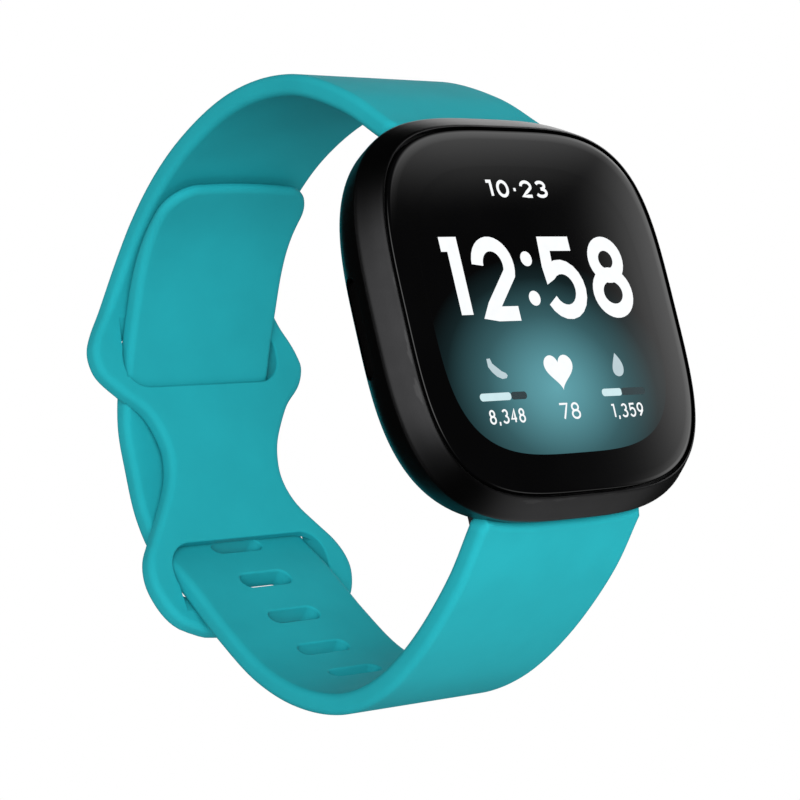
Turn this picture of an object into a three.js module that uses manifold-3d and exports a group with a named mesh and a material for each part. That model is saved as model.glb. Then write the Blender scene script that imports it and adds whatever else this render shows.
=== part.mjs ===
// Fitness tracker band: a rounded-square tracker with its silicone strap closed in a loop.
// Millimetres. X runs towards 3 o'clock, Z towards 12 o'clock and Y from the display towards the wrist.
// The origin is the centre of the flat sensor window that rests on the wrist, so the case lies at Y < 0.
import * as THREE from "three";
import { mergeVertices } from "three/addons/utils/BufferGeometryUtils.js";
import Module from "manifold-3d";

const wasm = await Module();
wasm.setup();

// ---- clearances
const stackGap = 0.1; // between parts that lie on each other
const slipGap = 0.3; // around parts that slide or plug in
const screwGap = 0.25; // radial, around the case screws

// ---- case: depths are measured from the wrist face towards the display
const caseWidth = 40.5;
const caseHeight = 40.5;
const caseDepth = 12.3;
const caseSides = 48; // points round a case outline
const ridgeDepth = 9.3; // widest point of the flank
const ridgeExponent = 3.28; // squareness of the ridge outline
const rearRimDepth = 1.6;
const rearRimInset = 5.3;
const rearRimRound = [0.5, 0.6]; // depth and width of the rounding at the rear rim
const flankDepth = 6.1; // where the flank turns in towards the wrist
const flankInset = 0.9;
const flankTurn = [1.9, 1.55]; // start of that turn: nearer the wrist, and further in
const flankMidTurn = [0.8, 0.55];
const flankRise = [0.9, 0.4]; // end of that turn: nearer the display, and further out
const ridgeRound = 0.9; // depth of the rounding behind the ridge
const ridgeRoundInset = 0.16;
const bezelRound = 0.45; // depth of the rounding in front of the ridge
const bezelEdge = [0.25, 0.42]; // top of the slope in front of the ridge, before the glass's edge
const bezelLip = [0.05, 0.12];
const through = 1; // how far a cutting shape runs past what it cuts
const sink = 0.1; // how far joined shapes run into each other
const hairline = 0.01; // the flat left between two full quarter rounds
const boreInset = 3.55; // inside of the case wall, behind the display
const mouthInset = 6.85; // the opening in the case's back
const mouthDepth = 3.1;
const boreDepth = 5.2; // where the inside reaches its full width
const boreExponent = 3.4;
const glassInset = 1.92;
const glassExponent = 3.64;
const glassThickness = 1.2;
const glassDome = 0.4; // rise of the glass from its edge to its middle
const glassCrown = [
  [0.1, 0.5],
  [0.25, 3],
  [0.35, 7],
]; // rise of the glass and how far in from its edge
const glassFlatInset = 12; // from its edge to the flat middle
const gasketThickness = 0.25;
const gasketWidth = 1.3;
const gussetReach = 11.7; // from the middle of the case to the screw gussets, on the diagonal
const gussetWidth = 3.0;
const gussetRearDepth = 3.2;
const gussetFrontDepth = 5.2;
const gussetOverlap = 0.4; // into the case wall

// ---- display, board, battery
const panelHalf = 15.3;
const panelThickness = 1.1;
const panelExponent = 5;
const flexWidth = 9;
const flexThickness = 0.15;
const flexRun = 4.5;
const chassisWall = 0.8;
const chassisWeb = 0.5;
const chassisRearDepth = 5.5;
const boardHalf = 15.1;
const boardThickness = 0.7;
const boardGap = 1.3; // from the display panel to the main board
const shieldSize = [15, 12, 0.9];
const shieldWall = 0.25;
const shieldRise = 2; // of the can's middle above the board's
const batterySize = [18, 14];
const batteryGap = 0.5; // from the sensor board to the battery
const batteryCorner = 1.5;
const batteryOffset = -2.5; // along X, to leave room for the motor
const motorRadius = 3.5;
const motorHeight = 2.7;
const motorWall = 0.25;
const motorCentre = [11.2, 0]; // X, Z
const rotorRadius = 2.7;
const rotorHeight = 1.4;
const shaftRadius = 0.45;
const shaftGap = 0.15;
const rotorSide = 1; // from the shaft to the straight side of the rotor

// ---- wrist side
const coverPlateauHalf = 11;
const coverPlateauDepth = 0.45;
const coverFlangeDepth = 1.5;
const coverFlangeInset = 5.4;
const coverSlope = [0.12, 1.2]; // depth and width of the slope round the plateau
const coverEdge = [
  [0.45, 1.2],
  [0.15, 0.2],
]; // depth and width of the rounding at the flange
const coverFloorDepth = 2.0;
const spigotInset = 7.75;
const spigotWall = 1.1;
const spigotDepth = 3.0;
const backGasketHeight = 0.7;
const windowRadius = 8;
const windowThickness = 0.9;
const windowEdge = 0.3;
const apertureRadius = 6.4;
const shieldRingWall = 0.7;
const dividerHalf = 2.5; // half the side of the middle light chamber
const sensorBoardRadius = 7.3;
const sensorBoardThickness = 0.6;
const ledSize = [1.4, 0.7, 1.4];
const ledPitch = 1.9;
const diodeSize = [1.6, 0.7, 3.4];
const diodeRadius = 4.1;
const contactRadius = 0.9;
const contactHalfPitch = 2.2;
const contactDrop = 9.9;
const screwSpread = 9.2; // X and Z of each case screw
const screwRadius = 0.5;
const screwLength = 3.1;
const screwHeadRadius = 1.0;
const screwHeadHeight = 0.6;
const screwSeatDepth = 1.85;
const screwPadRadius = 1.6;
const driveReach = 0.7; // half length of each arm of the cross drive
const driveHalf = 0.12;
const driveDepth = 0.25;

// ---- side key
const keyLength = 9.6; // along Z
const keyHeight = 2.0; // along Y
const keyRecess = 0.4; // face of the key below the flank
const keyFlangeLip = 0.5;
const keyFlangeThickness = 0.55;
const keyTravel = 0.4;
const keySealThickness = 0.3;
const keyStemHalf = 0.8;
const keyStemLength = 0.75;
const switchSize = [1.1, 2.4, 4.2];

// ---- strap
const strapThickness = 2.2;
const rootGap = 0.25; // from the end of the case to the strap's outer face
const rootDepth = -7.6; // Y of that face
const plateFace = 43.2; // Y of the outer face between the slots
const lapGap = 0.6; // from there to the lower half that lies on it
const strapRootHalf = 11;
const strapHalf = 10;
const strapEdge = 0.8; // chamfer of the long edges
const strapFlank = 0.4; // least flat left between the chamfers
const strapStations = 56;
const earUpperRise = 10.4; // Z of the widest point of each ear and of the waist
const earLowerRise = -13.2;
const waistRise = -0.6;
const slotSide = 0.6; // room beside the strap in each slot
const slotGap = 0.3; // room over and under it
const slotCorner = 1.6;
const slotCutReach = 10;
const earStart = 23; // Z above which the strap keeps its plain width
const earUpperRail = 3.1; // width of the rail on each side of a slot
const earLowerRail = 2.7;
const waistHalf = 7.3;
const rimHalf = 8.3;
const slotUpper = [10, 16.4]; // Z of the straight part of each slot
const slotLower = [-18.2, -12.5];
const holeRoom = 0.4; // round the peg, in each hole
const holePitch = 5.9;
const holeCount = 8;
const pegRise = -0.1; // Z of the peg
const pegHole = 6; // the hole, counted from 0, that the peg is in
const tailTaper = 0.9; // thickness lost towards the tip
const tailCorner = 2.8;
const pegLength = 6.2;
const pegHeight = 1.9;
const pegHeadLip = 0.25;
const pegBaseHalf = 4.4;
const pegBaseThickness = 0.7;
const pegBaseCorner = 1.3;
const pegHeadRise = 0.3; // from the strap's outer face to the head
const pegHeadThickness = 0.5;

// ---- strap connectors
const tongueMargin = 1.3; // from the strap's side to the tongue's
const tongueFront = -7.1; // Y faces of the tongue
const tongueRear = -4.9;
const tongueReach = 2.45; // into the case from its end
const headReach = 2.6; // along the strap
const headThickness = 1.0;
const neckFront = 0.3; // where the tongue turns into the head, on its two faces
const neckRear = 0.9;
const latchHalf = 3.0;
const latchArm = 0.5;
const latchTooth = 0.7;
const toothHeight = 0.5;
const latchRise = 0.75; // past the end of the case
const padHeight = 1.0;
const padFace = -3.1; // Y of the face that a finger presses
const padRoom = 2; // in front of that face
const recessFloor = -6.3;
const springRadius = 0.65;
const springWire = 0.2;
const springTurns = 3;
const springInside = 0.95; // inside the end of the case

const finish = {
  anodised: { color: 0x1c1d1f, roughness: 0.42, metalness: 0.8 },
  glass: { color: 0x060708, roughness: 0.06, metalness: 0 },
  screen: { color: 0x10181b, roughness: 0.3, metalness: 0 },
  black: { color: 0x141414, roughness: 0.6, metalness: 0 },
  polymer: { color: 0x1a1b1c, roughness: 0.5, metalness: 0 },
  board: { color: 0x14502f, roughness: 0.55, metalness: 0 },
  flex: { color: 0xb06a20, roughness: 0.5, metalness: 0 },
  steel: { color: 0xb9bcc0, roughness: 0.3, metalness: 1 },
  foil: { color: 0xa7abb0, roughness: 0.45, metalness: 0.7 },
  gold: { color: 0xd6b25e, roughness: 0.3, metalness: 1 },
  green: { color: 0x79d67f, roughness: 0.3, metalness: 0 },
  red: { color: 0xc23b34, roughness: 0.3, metalness: 0 },
  diode: { color: 0x23262e, roughness: 0.25, metalness: 0 },
  silicone: { color: 0x2fb1bd, roughness: 0.62, metalness: 0 },
};

const tracker = new THREE.Group();
const axisX = new THREE.Vector3(1, 0, 0);
const axisY = new THREE.Vector3(0, 1, 0);
const axisZ = new THREE.Vector3(0, 0, 1);

// ---- solids

// A manifold-3d solid from a closed three.js geometry.
function solid(geometry) {
  const bare = geometry.clone();
  bare.deleteAttribute("normal");
  bare.deleteAttribute("uv");
  const merged = mergeVertices(bare, 1e-4);
  return new wasm.Manifold(
    new wasm.Mesh({
      numProp: 3,
      vertProperties: merged.getAttribute("position").array,
      triVerts: new Uint32Array(merged.index.array),
    }),
  );
}

// Adds a solid to the tracker as a named mesh.
function part(name, shape, look) {
  const mesh = shape.getMesh();
  const geometry = new THREE.BufferGeometry();
  geometry.setAttribute("position", new THREE.BufferAttribute(mesh.vertProperties, 3));
  geometry.setIndex(new THREE.BufferAttribute(mesh.triVerts, 1));
  geometry.computeVertexNormals();
  const made = new THREE.Mesh(geometry, new THREE.MeshStandardMaterial(look));
  made.name = name;
  tracker.add(made);
}

// A closed skin over rings of points, with flat ends.
function loft(rings) {
  const count = rings[0].length;
  const points = rings.flat();
  const index = [];
  for (let ring = 0; ring + 1 < rings.length; ring++) {
    for (let i = 0; i < count; i++) {
      const a = ring * count + i;
      const b = ring * count + ((i + 1) % count);
      index.push(a, b, b + count, a, b + count, a + count);
    }
  }
  const last = (rings.length - 1) * count;
  for (let i = 1; i + 1 < count; i++) {
    index.push(0, i + 1, i);
    index.push(last, last + i, last + i + 1);
  }
  const geometry = new THREE.BufferGeometry().setFromPoints(points);
  geometry.setIndex(index);
  const made = solid(geometry);
  return made.volume() > 0 ? made : solid(flipped(geometry));
}

function flipped(geometry) {
  const index = geometry.index.array.slice();
  for (let i = 0; i < index.length; i += 3) {
    [index[i + 1], index[i + 2]] = [index[i + 2], index[i + 1]];
  }
  const turned = geometry.clone();
  turned.setIndex(new THREE.BufferAttribute(index, 1));
  return turned;
}

// A rounded-square outline of the case at one depth.
function outline(depth, halfWidth, halfHeight, exponent) {
  const ring = [];
  for (let i = 0; i < caseSides; i++) {
    const angle = (2 * Math.PI * i) / caseSides;
    const c = Math.cos(angle);
    const s = Math.sin(angle);
    const reach = (Math.abs(c) ** exponent + Math.abs(s) ** exponent) ** (-1 / exponent);
    ring.push(new THREE.Vector3(halfWidth * reach * c, -depth, halfHeight * reach * s));
  }
  return ring;
}

// A case outline that lies inside the ridge by the inset.
function inset(depth, by, exponent = ridgeExponent) {
  return outline(depth, caseWidth / 2 - by, caseHeight / 2 - by, exponent);
}

// A straight block between two depths, with a rounded-square outline.
function slab(rearDepth, frontDepth, by, exponent) {
  return loft([inset(rearDepth, by, exponent), inset(frontDepth, by, exponent)]);
}

function box(x, y, z) {
  const shape = new THREE.BoxGeometry(x[1] - x[0], y[1] - y[0], z[1] - z[0]);
  shape.translate((x[0] + x[1]) / 2, (y[0] + y[1]) / 2, (z[0] + z[1]) / 2);
  return solid(shape);
}

// A cylinder along Y between two depths.
function disc(x, z, radius, rearDepth, frontDepth, sides = 32) {
  const shape = new THREE.CylinderGeometry(radius, radius, frontDepth - rearDepth, sides);
  shape.translate(x, -(rearDepth + frontDepth) / 2, z);
  return solid(shape);
}

// A flat outline with rounded corners.
function roundedRectangle(halfWidth, halfHeight, corner) {
  const shape = new THREE.Shape();
  const w = halfWidth - corner;
  const h = halfHeight - corner;
  shape.absarc(w, h, corner, 0, Math.PI / 2);
  shape.absarc(-w, h, corner, Math.PI / 2, Math.PI);
  shape.absarc(-w, -h, corner, Math.PI, 1.5 * Math.PI);
  shape.absarc(w, -h, corner, 1.5 * Math.PI, 2 * Math.PI);
  return shape;
}

// A flat outline in X and Z, extruded between two Y values.
function extrudeY(shape, yFrom, yTo, curveSegments = 5) {
  const body = new THREE.ExtrudeGeometry(shape, { depth: yTo - yFrom, bevelEnabled: false, curveSegments });
  const frame = new THREE.Matrix4().makeBasis(axisX, axisZ, axisY.clone().negate());
  body.applyMatrix4(frame.setPosition(0, yTo, 0));
  return solid(body);
}

// A flat outline in Y and Z, extruded between two X values.
function extrudeX(shape, xFrom, xTo, curveSegments = 5) {
  const body = new THREE.ExtrudeGeometry(shape, { depth: xTo - xFrom, bevelEnabled: false, curveSegments });
  const frame = new THREE.Matrix4().makeBasis(axisY, axisZ, axisX);
  body.applyMatrix4(frame.setPosition(xFrom, 0, 0));
  return solid(body);
}

function polygon(points) {
  return new THREE.Shape(points.map(([a, b]) => new THREE.Vector2(a, b)));
}

// A stadium along Z, extruded between two X values at the height of the side key.
function keySlab(length, height, xFrom, xTo) {
  const shape = roundedRectangle(height / 2, length / 2, height / 2 - hairline);
  return extrudeX(shape, xFrom, xTo).translate([0, -keyDepth, 0]);
}

// ---- case

const boreHalf = caseWidth / 2 - boreInset;
const glassEdgeDepth = caseDepth - glassDome;
const glassRearDepth = caseDepth - glassThickness;
const ledgeDepth = glassRearDepth - gasketThickness - 2 * stackGap;
const panelRearDepth = glassRearDepth - stackGap - panelThickness;
const boardDepth = panelRearDepth - boardGap - boardThickness;
const keyDepth = boardDepth - stackGap - switchSize[1] / 2;
const webRearDepth = boardDepth - stackGap - chassisWeb;
const flexRadius = (boardGap - 2 * stackGap - flexThickness) / 2;
const earUpperHalf = strapHalf + slotSide + earUpperRail;
const earLowerHalf = strapHalf + slotSide + earLowerRail;
const holeLength = pegLength + 2 * holeRoom;
const holeHeight = pegHeight + 2 * holeRoom;
const tongueHalf = strapRootHalf - tongueMargin;
const tongueTip = caseHeight / 2 - tongueReach;
const latchTop = caseHeight / 2 + latchRise;
const springCentre = caseHeight / 2 - springInside;
const rootRise = caseHeight / 2 + rootGap;
const lapFace = plateFace + lapGap + strapThickness;
const glassPocketInset = glassInset - slipGap / 2;
const gasketInset = glassInset + slipGap / 2;
const keyFace = -(caseWidth / 2 - flankInset - keyRecess);
const keyFlangeRear = -(boreHalf + stackGap);
const keyFlangeFront = keyFlangeRear - keyFlangeThickness;
const keySealFront = keyFlangeFront - stackGap - keySealThickness;
const pocketTip = tongueTip - slipGap;
const screwPlaces = [
  [1, 1],
  [-1, 1],
  [-1, -1],
  [1, -1],
];

// The hollow of the case, from its mouth in the back to the display, or the same grown into its wall.
function caseInside(grown) {
  return loft([
    inset(rearRimDepth - through, mouthInset - grown, boreExponent),
    inset(mouthDepth, mouthInset - grown, boreExponent),
    inset(boreDepth, boreInset - grown, boreExponent),
    inset(ledgeDepth + through, boreInset - grown, boreExponent),
  ]);
}

// The four bars across the corners that take the case screws.
function screwGussets() {
  const length = caseWidth;
  const bars = screwPlaces.map(([sx, sz]) => {
    const bar = new THREE.BoxGeometry(length, gussetFrontDepth - gussetRearDepth, gussetWidth);
    bar.translate(gussetReach + length / 2, -(gussetFrontDepth + gussetRearDepth) / 2, 0);
    bar.rotateY(-Math.atan2(sz, sx));
    return solid(bar);
  });
  return bars.reduce((all, bar) => all.add(bar)).intersect(caseInside(gussetOverlap));
}

function makeCaseFrame() {
  let frame = loft([
    inset(rearRimDepth, rearRimInset, boreExponent),
    inset(rearRimDepth + rearRimRound[0], rearRimInset - rearRimRound[1]),
    inset(flankDepth - flankTurn[0], flankInset + flankTurn[1]),
    inset(flankDepth - flankMidTurn[0], flankInset + flankMidTurn[1]),
    inset(flankDepth, flankInset),
    inset(flankDepth + flankRise[0], flankInset - flankRise[1]),
    inset(ridgeDepth - ridgeRound, ridgeRoundInset),
    inset(ridgeDepth, 0),
    inset(ridgeDepth + bezelRound, ridgeRoundInset),
    inset(glassEdgeDepth - bezelEdge[0], glassInset - bezelEdge[1], glassExponent),
    inset(glassEdgeDepth - bezelLip[0], glassInset - bezelLip[1], glassExponent),
  ]);
  frame = frame.subtract(caseInside(0)).add(screwGussets());
  frame = frame.subtract(slab(ledgeDepth, caseDepth + through, glassPocketInset, glassExponent));
  for (const [sx, sz] of screwPlaces) {
    const pilotEnd = screwSeatDepth + screwLength + slipGap;
    frame = frame.subtract(
      disc(sx * screwSpread, sz * screwSpread, screwRadius + screwGap, rearRimDepth, pilotEnd, 12),
    );
  }
  for (const side of [1, -1]) {
    frame = frame.subtract(connectorPocket(side));
  }
  const slot = keySlab(keyLength + slipGap, keyHeight + slipGap, -caseWidth, keyFlangeRear + through);
  const flangeRoom = keySlab(
    keyLength + 2 * keyFlangeLip + 2 * slipGap,
    keyHeight + 2 * keyFlangeLip + 2 * slipGap,
    keySealFront - stackGap,
    -boreHalf + through,
  );
  return frame.subtract(slot).subtract(flangeRoom);
}

// The socket in the case's end for a strap connector, with the notch that its latch holds.
function connectorPocket(side) {
  const socket = box(
    [-tongueHalf - slipGap, tongueHalf + slipGap],
    [tongueFront - slipGap, tongueRear + slipGap],
    span(side, pocketTip, caseHeight),
  );
  const notch = box(
    [-latchHalf - slipGap, latchHalf + slipGap],
    [tongueRear, tongueRear + latchTooth + slipGap],
    span(side, pocketTip, tongueTip + toothHeight + slipGap),
  );
  return socket.add(notch);
}

// A range along Z on the 12 o'clock side, or its mirror image on the 6 o'clock side.
function span(side, near, far) {
  return side > 0 ? [near, far] : [-far, -near];
}

function makeGlass() {
  const seat = glassInset + slipGap / 2;
  part(
    "cover_glass",
    loft([
      inset(glassRearDepth, seat, glassExponent),
      inset(glassEdgeDepth - bezelLip[0], seat, glassExponent),
      ...glassCrown.map(([rise, by]) => inset(glassEdgeDepth + rise, seat + by, glassExponent)),
      inset(caseDepth, seat + glassFlatInset, glassExponent),
    ]),
    finish.glass,
  );
  const gasketFront = glassRearDepth - stackGap;
  const gasketRear = gasketFront - gasketThickness;
  part(
    "glass_gasket",
    slab(gasketRear, gasketFront, gasketInset, glassExponent).subtract(
      slab(gasketRear - through, gasketFront + through, gasketInset + gasketWidth, glassExponent),
    ),
    finish.black,
  );
}

// ---- display, chassis, board, battery

function square(rearDepth, frontDepth, half, exponent) {
  return loft([outline(rearDepth, half, half, exponent), outline(frontDepth, half, half, exponent)]);
}

function makeDisplay() {
  const rear = panelRearDepth;
  part("display_panel", square(rear, rear + panelThickness, panelHalf, panelExponent), finish.screen);

  // The ribbon leaves the rear of the panel, turns round and comes back to the board.
  const outer = flexRadius + flexThickness / 2;
  const inner = flexRadius - flexThickness / 2;
  const bendY = -(rear - stackGap - outer);
  const bendZ = -panelHalf + outer + slipGap;
  const ribbon = new THREE.Shape();
  ribbon.moveTo(bendY - outer, bendZ + flexRun);
  ribbon.lineTo(bendY - outer, bendZ);
  ribbon.absarc(bendY, bendZ, outer, Math.PI, 2 * Math.PI, false);
  ribbon.lineTo(bendY + outer, bendZ + flexRun);
  ribbon.lineTo(bendY + inner, bendZ + flexRun);
  ribbon.lineTo(bendY + inner, bendZ);
  ribbon.absarc(bendY, bendZ, inner, 2 * Math.PI, Math.PI, true);
  ribbon.lineTo(bendY - inner, bendZ + flexRun);
  part("display_flex", extrudeX(ribbon, -flexWidth / 2, flexWidth / 2, 8), finish.flex);
}

function makeChassis() {
  const front = panelRearDepth - stackGap;
  const outside = boreInset + slipGap;
  const webFront = boardDepth - stackGap;
  const room = (rear, end) => slab(rear, end, outside + chassisWall, boreExponent);
  const body = slab(chassisRearDepth, front, outside, boreExponent)
    .subtract(room(chassisRearDepth - through, webRearDepth))
    .subtract(room(webFront, front + through));
  const keyRoom = box(
    [-caseWidth, -boreHalf + slipGap + chassisWall + switchSize[0] + slipGap],
    [-keyDepth - switchSize[1] / 2 - slipGap, -keyDepth + keyHeight / 2 + keyFlangeLip + 2 * slipGap],
    [-keyLength / 2 - keyFlangeLip - 2 * slipGap, keyLength / 2 + keyFlangeLip + 2 * slipGap],
  );
  part("chassis", body.subtract(keyRoom), finish.polymer);
}

function makeBoard() {
  const board = square(boardDepth, boardDepth + boardThickness, boardHalf, boreExponent);
  part("main_board", board, finish.board);

  const [w, h, rise] = shieldSize;
  const foot = -(boardDepth + boardThickness + stackGap);
  const roof = foot - rise;
  const can = box([-w / 2, w / 2], [roof, foot], [shieldRise - h / 2, shieldRise + h / 2]);
  const hollow = box(
    [-w / 2 + shieldWall, w / 2 - shieldWall],
    [roof + shieldWall, foot + through],
    [shieldRise - h / 2 + shieldWall, shieldRise + h / 2 - shieldWall],
  );
  part("shield_can", can.subtract(hollow), finish.steel);
}

function makeBattery() {
  const [w, h] = batterySize;
  const front = webRearDepth - stackGap;
  const rear = spigotDepth + sensorBoardThickness + batteryGap;
  const shape = roundedRectangle(w / 2, h / 2, batteryCorner);
  const cell = extrudeY(shape, -front, -rear).translate([batteryOffset, 0, 0]);
  part("battery", cell, finish.foil);
}

// A coin motor: its can, the base with the shaft, and the lopsided rotor that shakes the case.
function makeMotor() {
  const [x, z] = motorCentre;
  const front = webRearDepth - stackGap;
  const rear = front - motorHeight;
  const baseFront = rear + motorWall;
  const can = disc(x, z, motorRadius, baseFront + stackGap, front).subtract(
    disc(x, z, motorRadius - motorWall, 0, front - motorWall),
  );
  part("motor_can", can, finish.steel);
  const shaftEnd = front - motorWall - stackGap;
  const base = disc(x, z, motorRadius, rear, baseFront).add(
    disc(x, z, shaftRadius, baseFront - sink, shaftEnd, 16),
  );
  part("motor_base", base, finish.steel);
  const middle = (baseFront + shaftEnd) / 2;
  const half = rotorHeight / 2;
  const wide = 2 * rotorRadius;
  const heavySide = box([x - rotorSide, x + wide], [-caseDepth, 0], [z - wide, z + wide]);
  const rotor = disc(x, z, rotorRadius, middle - half, middle + half)
    .intersect(heavySide)
    .subtract(disc(x, z, shaftRadius + shaftGap, 0, caseDepth, 16));
  part("motor_rotor", rotor, finish.steel);
}

// ---- wrist side

function makeBackCover() {
  const slopeHalf = coverPlateauHalf + coverSlope[1];
  let cover = loft([
    outline(coverPlateauDepth, coverPlateauHalf, coverPlateauHalf, ridgeExponent),
    outline(coverPlateauDepth + coverSlope[0], slopeHalf, slopeHalf, ridgeExponent),
    ...coverEdge.map(([rise, by]) => {
      return inset(coverFlangeDepth - rise, coverFlangeInset + by, boreExponent);
    }),
    inset(coverFlangeDepth, coverFlangeInset, boreExponent),
  ]);
  const spigot = slab(coverFlangeDepth - sink, spigotDepth, spigotInset, boreExponent);
  const room = slab(coverFloorDepth, spigotDepth + through, spigotInset + spigotWall, boreExponent);
  cover = cover.add(spigot).subtract(room);
  for (const [sx, sz] of screwPlaces) {
    const [x, z] = [sx * screwSpread, sz * screwSpread];
    const pad = disc(x, z, screwPadRadius, coverFloorDepth - sink, spigotDepth, 16);
    cover = cover.add(pad.intersect(spigot));
  }
  for (const [sx, sz] of screwPlaces) {
    const [x, z] = [sx * screwSpread, sz * screwSpread];
    cover = cover.subtract(disc(x, z, screwRadius + screwGap, 0, spigotDepth + through, 12));
    cover = cover.subtract(disc(x, z, screwHeadRadius + screwGap, 0, screwSeatDepth, 16));
  }
  for (const side of [-1, 1]) {
    const hole = disc(side * contactHalfPitch, -contactDrop, contactRadius + stackGap, 0, caseDepth, 16);
    cover = cover.subtract(hole);
  }
  cover = cover.subtract(disc(0, 0, windowRadius + stackGap, 0, windowThickness + stackGap));
  cover = cover.subtract(disc(0, 0, apertureRadius, 0, caseDepth));
  part("back_cover", cover, finish.polymer);

  const gasketRear = coverFlangeDepth + 2 * stackGap;
  const gasketFront = gasketRear + backGasketHeight;
  const ring = slab(gasketRear, gasketFront, mouthInset + stackGap, boreExponent);
  const inside = slab(0, caseDepth, spigotInset - stackGap, boreExponent);
  part("back_gasket", ring.subtract(inside), finish.black);
}

// The clear window, flat towards the wrist with a small edge round.
function makeSensorWindow() {
  const profile = [
    [0, 0],
    [windowRadius - windowEdge, 0],
    [windowRadius, windowEdge],
    [windowRadius, windowThickness],
    [0, windowThickness],
  ].map(([r, depth]) => new THREE.Vector2(r, -depth));
  const body = new THREE.LatheGeometry(profile.reverse(), 40);
  part("sensor_window", solid(body), finish.glass);
}

function makeSensors() {
  const boardRear = spigotDepth;
  const ringRear = windowThickness + 2 * stackGap;
  const ringFront = boardRear - stackGap;
  part(
    "sensor_board",
    disc(0, 0, sensorBoardRadius, boardRear, boardRear + sensorBoardThickness),
    finish.board,
  );
  const outer = disc(0, 0, apertureRadius - stackGap, ringRear, ringFront);
  const hollow = disc(0, 0, apertureRadius - stackGap - shieldRingWall, 0, caseDepth);
  const w = dividerHalf;
  const t = dividerHalf - shieldRingWall;
  const chamber = box([-w, w], [-ringFront, -ringRear], [-w, w]);
  const light = box([-t, t], [-caseDepth, 0], [-t, t]);
  const reach = apertureRadius - shieldRingWall / 2;
  const vane = box([-reach, reach], [-ringFront, -ringRear], [-shieldRingWall / 2, shieldRingWall / 2]);
  const walls = outer.subtract(hollow).add(vane).add(chamber).subtract(light);
  part("light_shield", walls, finish.black);

  const [w1, rise, h1] = ledSize;
  const chip = (name, x, z, width, height, look) =>
    part(
      name,
      box([x - width / 2, x + width / 2], [-boardRear + stackGap, -boardRear + stackGap + rise], [
        z - height / 2,
        z + height / 2,
      ]),
      look,
    );
  chip("led_green_left", -ledPitch / 2, 0, w1, h1, finish.green);
  chip("led_green_right", ledPitch / 2, 0, w1, h1, finish.green);
  const [w2, , h2] = diodeSize;
  chip("photodiode_top", 0, diodeRadius, h2, w2, finish.diode);
  chip("photodiode_bottom", 0, -diodeRadius, h2, w2, finish.diode);
}

function makeContacts() {
  for (const [side, word] of [
    [-1, "left"],
    [1, "right"],
  ]) {
    const x = side * contactHalfPitch;
    const pin = disc(x, -contactDrop, contactRadius, coverPlateauDepth, spigotDepth, 20);
    part("charge_contact_" + word, pin, finish.gold);
  }
}

function makeScrews() {
  screwPlaces.forEach(([sx, sz], i) => {
    const [x, z] = [sx * screwSpread, sz * screwSpread];
    const seat = screwSeatDepth - stackGap;
    const head = disc(x, z, screwHeadRadius, seat - screwHeadHeight, seat, 20);
    const shank = disc(x, z, screwRadius, seat - sink, screwSeatDepth + screwLength, 12);
    const floor = -(seat - screwHeadHeight + driveDepth);
    const arm = (halfX, halfZ) => box([x - halfX, x + halfX], [floor, 0], [z - halfZ, z + halfZ]);
    const drive = arm(driveReach, driveHalf);
    const cross = arm(driveHalf, driveReach);
    part("case_screw_" + (i + 1), head.add(shank).subtract(drive).subtract(cross), finish.steel);
  });
}

// ---- side key

function makeSideKey() {
  const cap = keySlab(keyLength, keyHeight, keyFace, keyFlangeFront + sink);
  const [flangeLength, flangeHeight] = [keyLength + 2 * keyFlangeLip, keyHeight + 2 * keyFlangeLip];
  const flange = keySlab(flangeLength, flangeHeight, keyFlangeFront, keyFlangeRear);
  const stemEnd = keyFlangeRear + keyStemLength;
  const stem = box(
    [keyFlangeRear - sink, stemEnd],
    [-keyDepth - keyStemHalf, -keyDepth + keyStemHalf],
    [-keyStemHalf, keyStemHalf],
  );
  part("side_key", cap.add(flange).add(stem), finish.anodised);

  const seal = keySlab(flangeLength, flangeHeight, keySealFront, keySealFront + keySealThickness);
  const opening = keySlab(keyLength + slipGap, keyHeight + slipGap, -caseWidth, 0);
  part("key_seal", seal.subtract(opening), finish.black);

  const [depth, height, length] = switchSize;
  const start = stemEnd + keyTravel + stackGap;
  const front = -keyDepth - height / 2;
  const body = box([start, start + depth], [front, front + height], [-length / 2, length / 2]);
  part("key_switch", body, finish.polymer);
}

// ---- strap

// Outer faces of the two halves, as points in Y and Z from the case to the far end.
const upperFace = [
  [rootDepth, rootRise],
  [-2.5, rootRise + 5],
  [5.3, rootRise + 9.8],
  [15, rootRise + 11.7],
  [25.2, rootRise + 10.2],
  [33.6, rootRise + 6.4],
  [plateFace - 3.7, rootRise + 1.7],
  [plateFace - 0.7, 17.4],
  [plateFace + 0.3, 11],
  [plateFace, 3],
  [plateFace - 0.2, -6],
  [plateFace - 0.9, -13],
  [plateFace - 2.2, -20.6],
];
const lowerFace = [
  [rootDepth, -rootRise],
  [-2.75, -(rootRise + 4.3)],
  [5.1, -(rootRise + 9.1)],
  [12.2, -(rootRise + 11.7)],
  [19, -(rootRise + 12.1)],
  [25.6, -(rootRise + 10.1)],
  [31.3, -(rootRise + 6.3)],
  [36, -(rootRise + 0.9)],
  [lapFace - 6.1, -15.5],
  [lapFace - 2.5, -10.6],
  [lapFace - 0.4, -5.6],
  [lapFace, 0],
  [lapFace - 0.5, 4.7],
  [lapFace - 2.8, 9.8],
  [lapFace - 5.3, 15],
  [lapFace - 8.7, 20.2],
  [lapFace - 12, 23.3],
  [lapFace - 18.4, 26.9],
];

function faceCurve(points) {
  return new THREE.CatmullRomCurve3(points.map(([y, z]) => new THREE.Vector3(0, y, z)));
}

// Where the strap is at a share of its length: a point on its outer face and the way in from it.
function strapFrame(curve, share, turn) {
  const point = curve.getPointAt(share);
  const along = curve.getTangentAt(share);
  return { point, inward: new THREE.Vector3(0, turn * along.z, -turn * along.y) };
}

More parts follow.
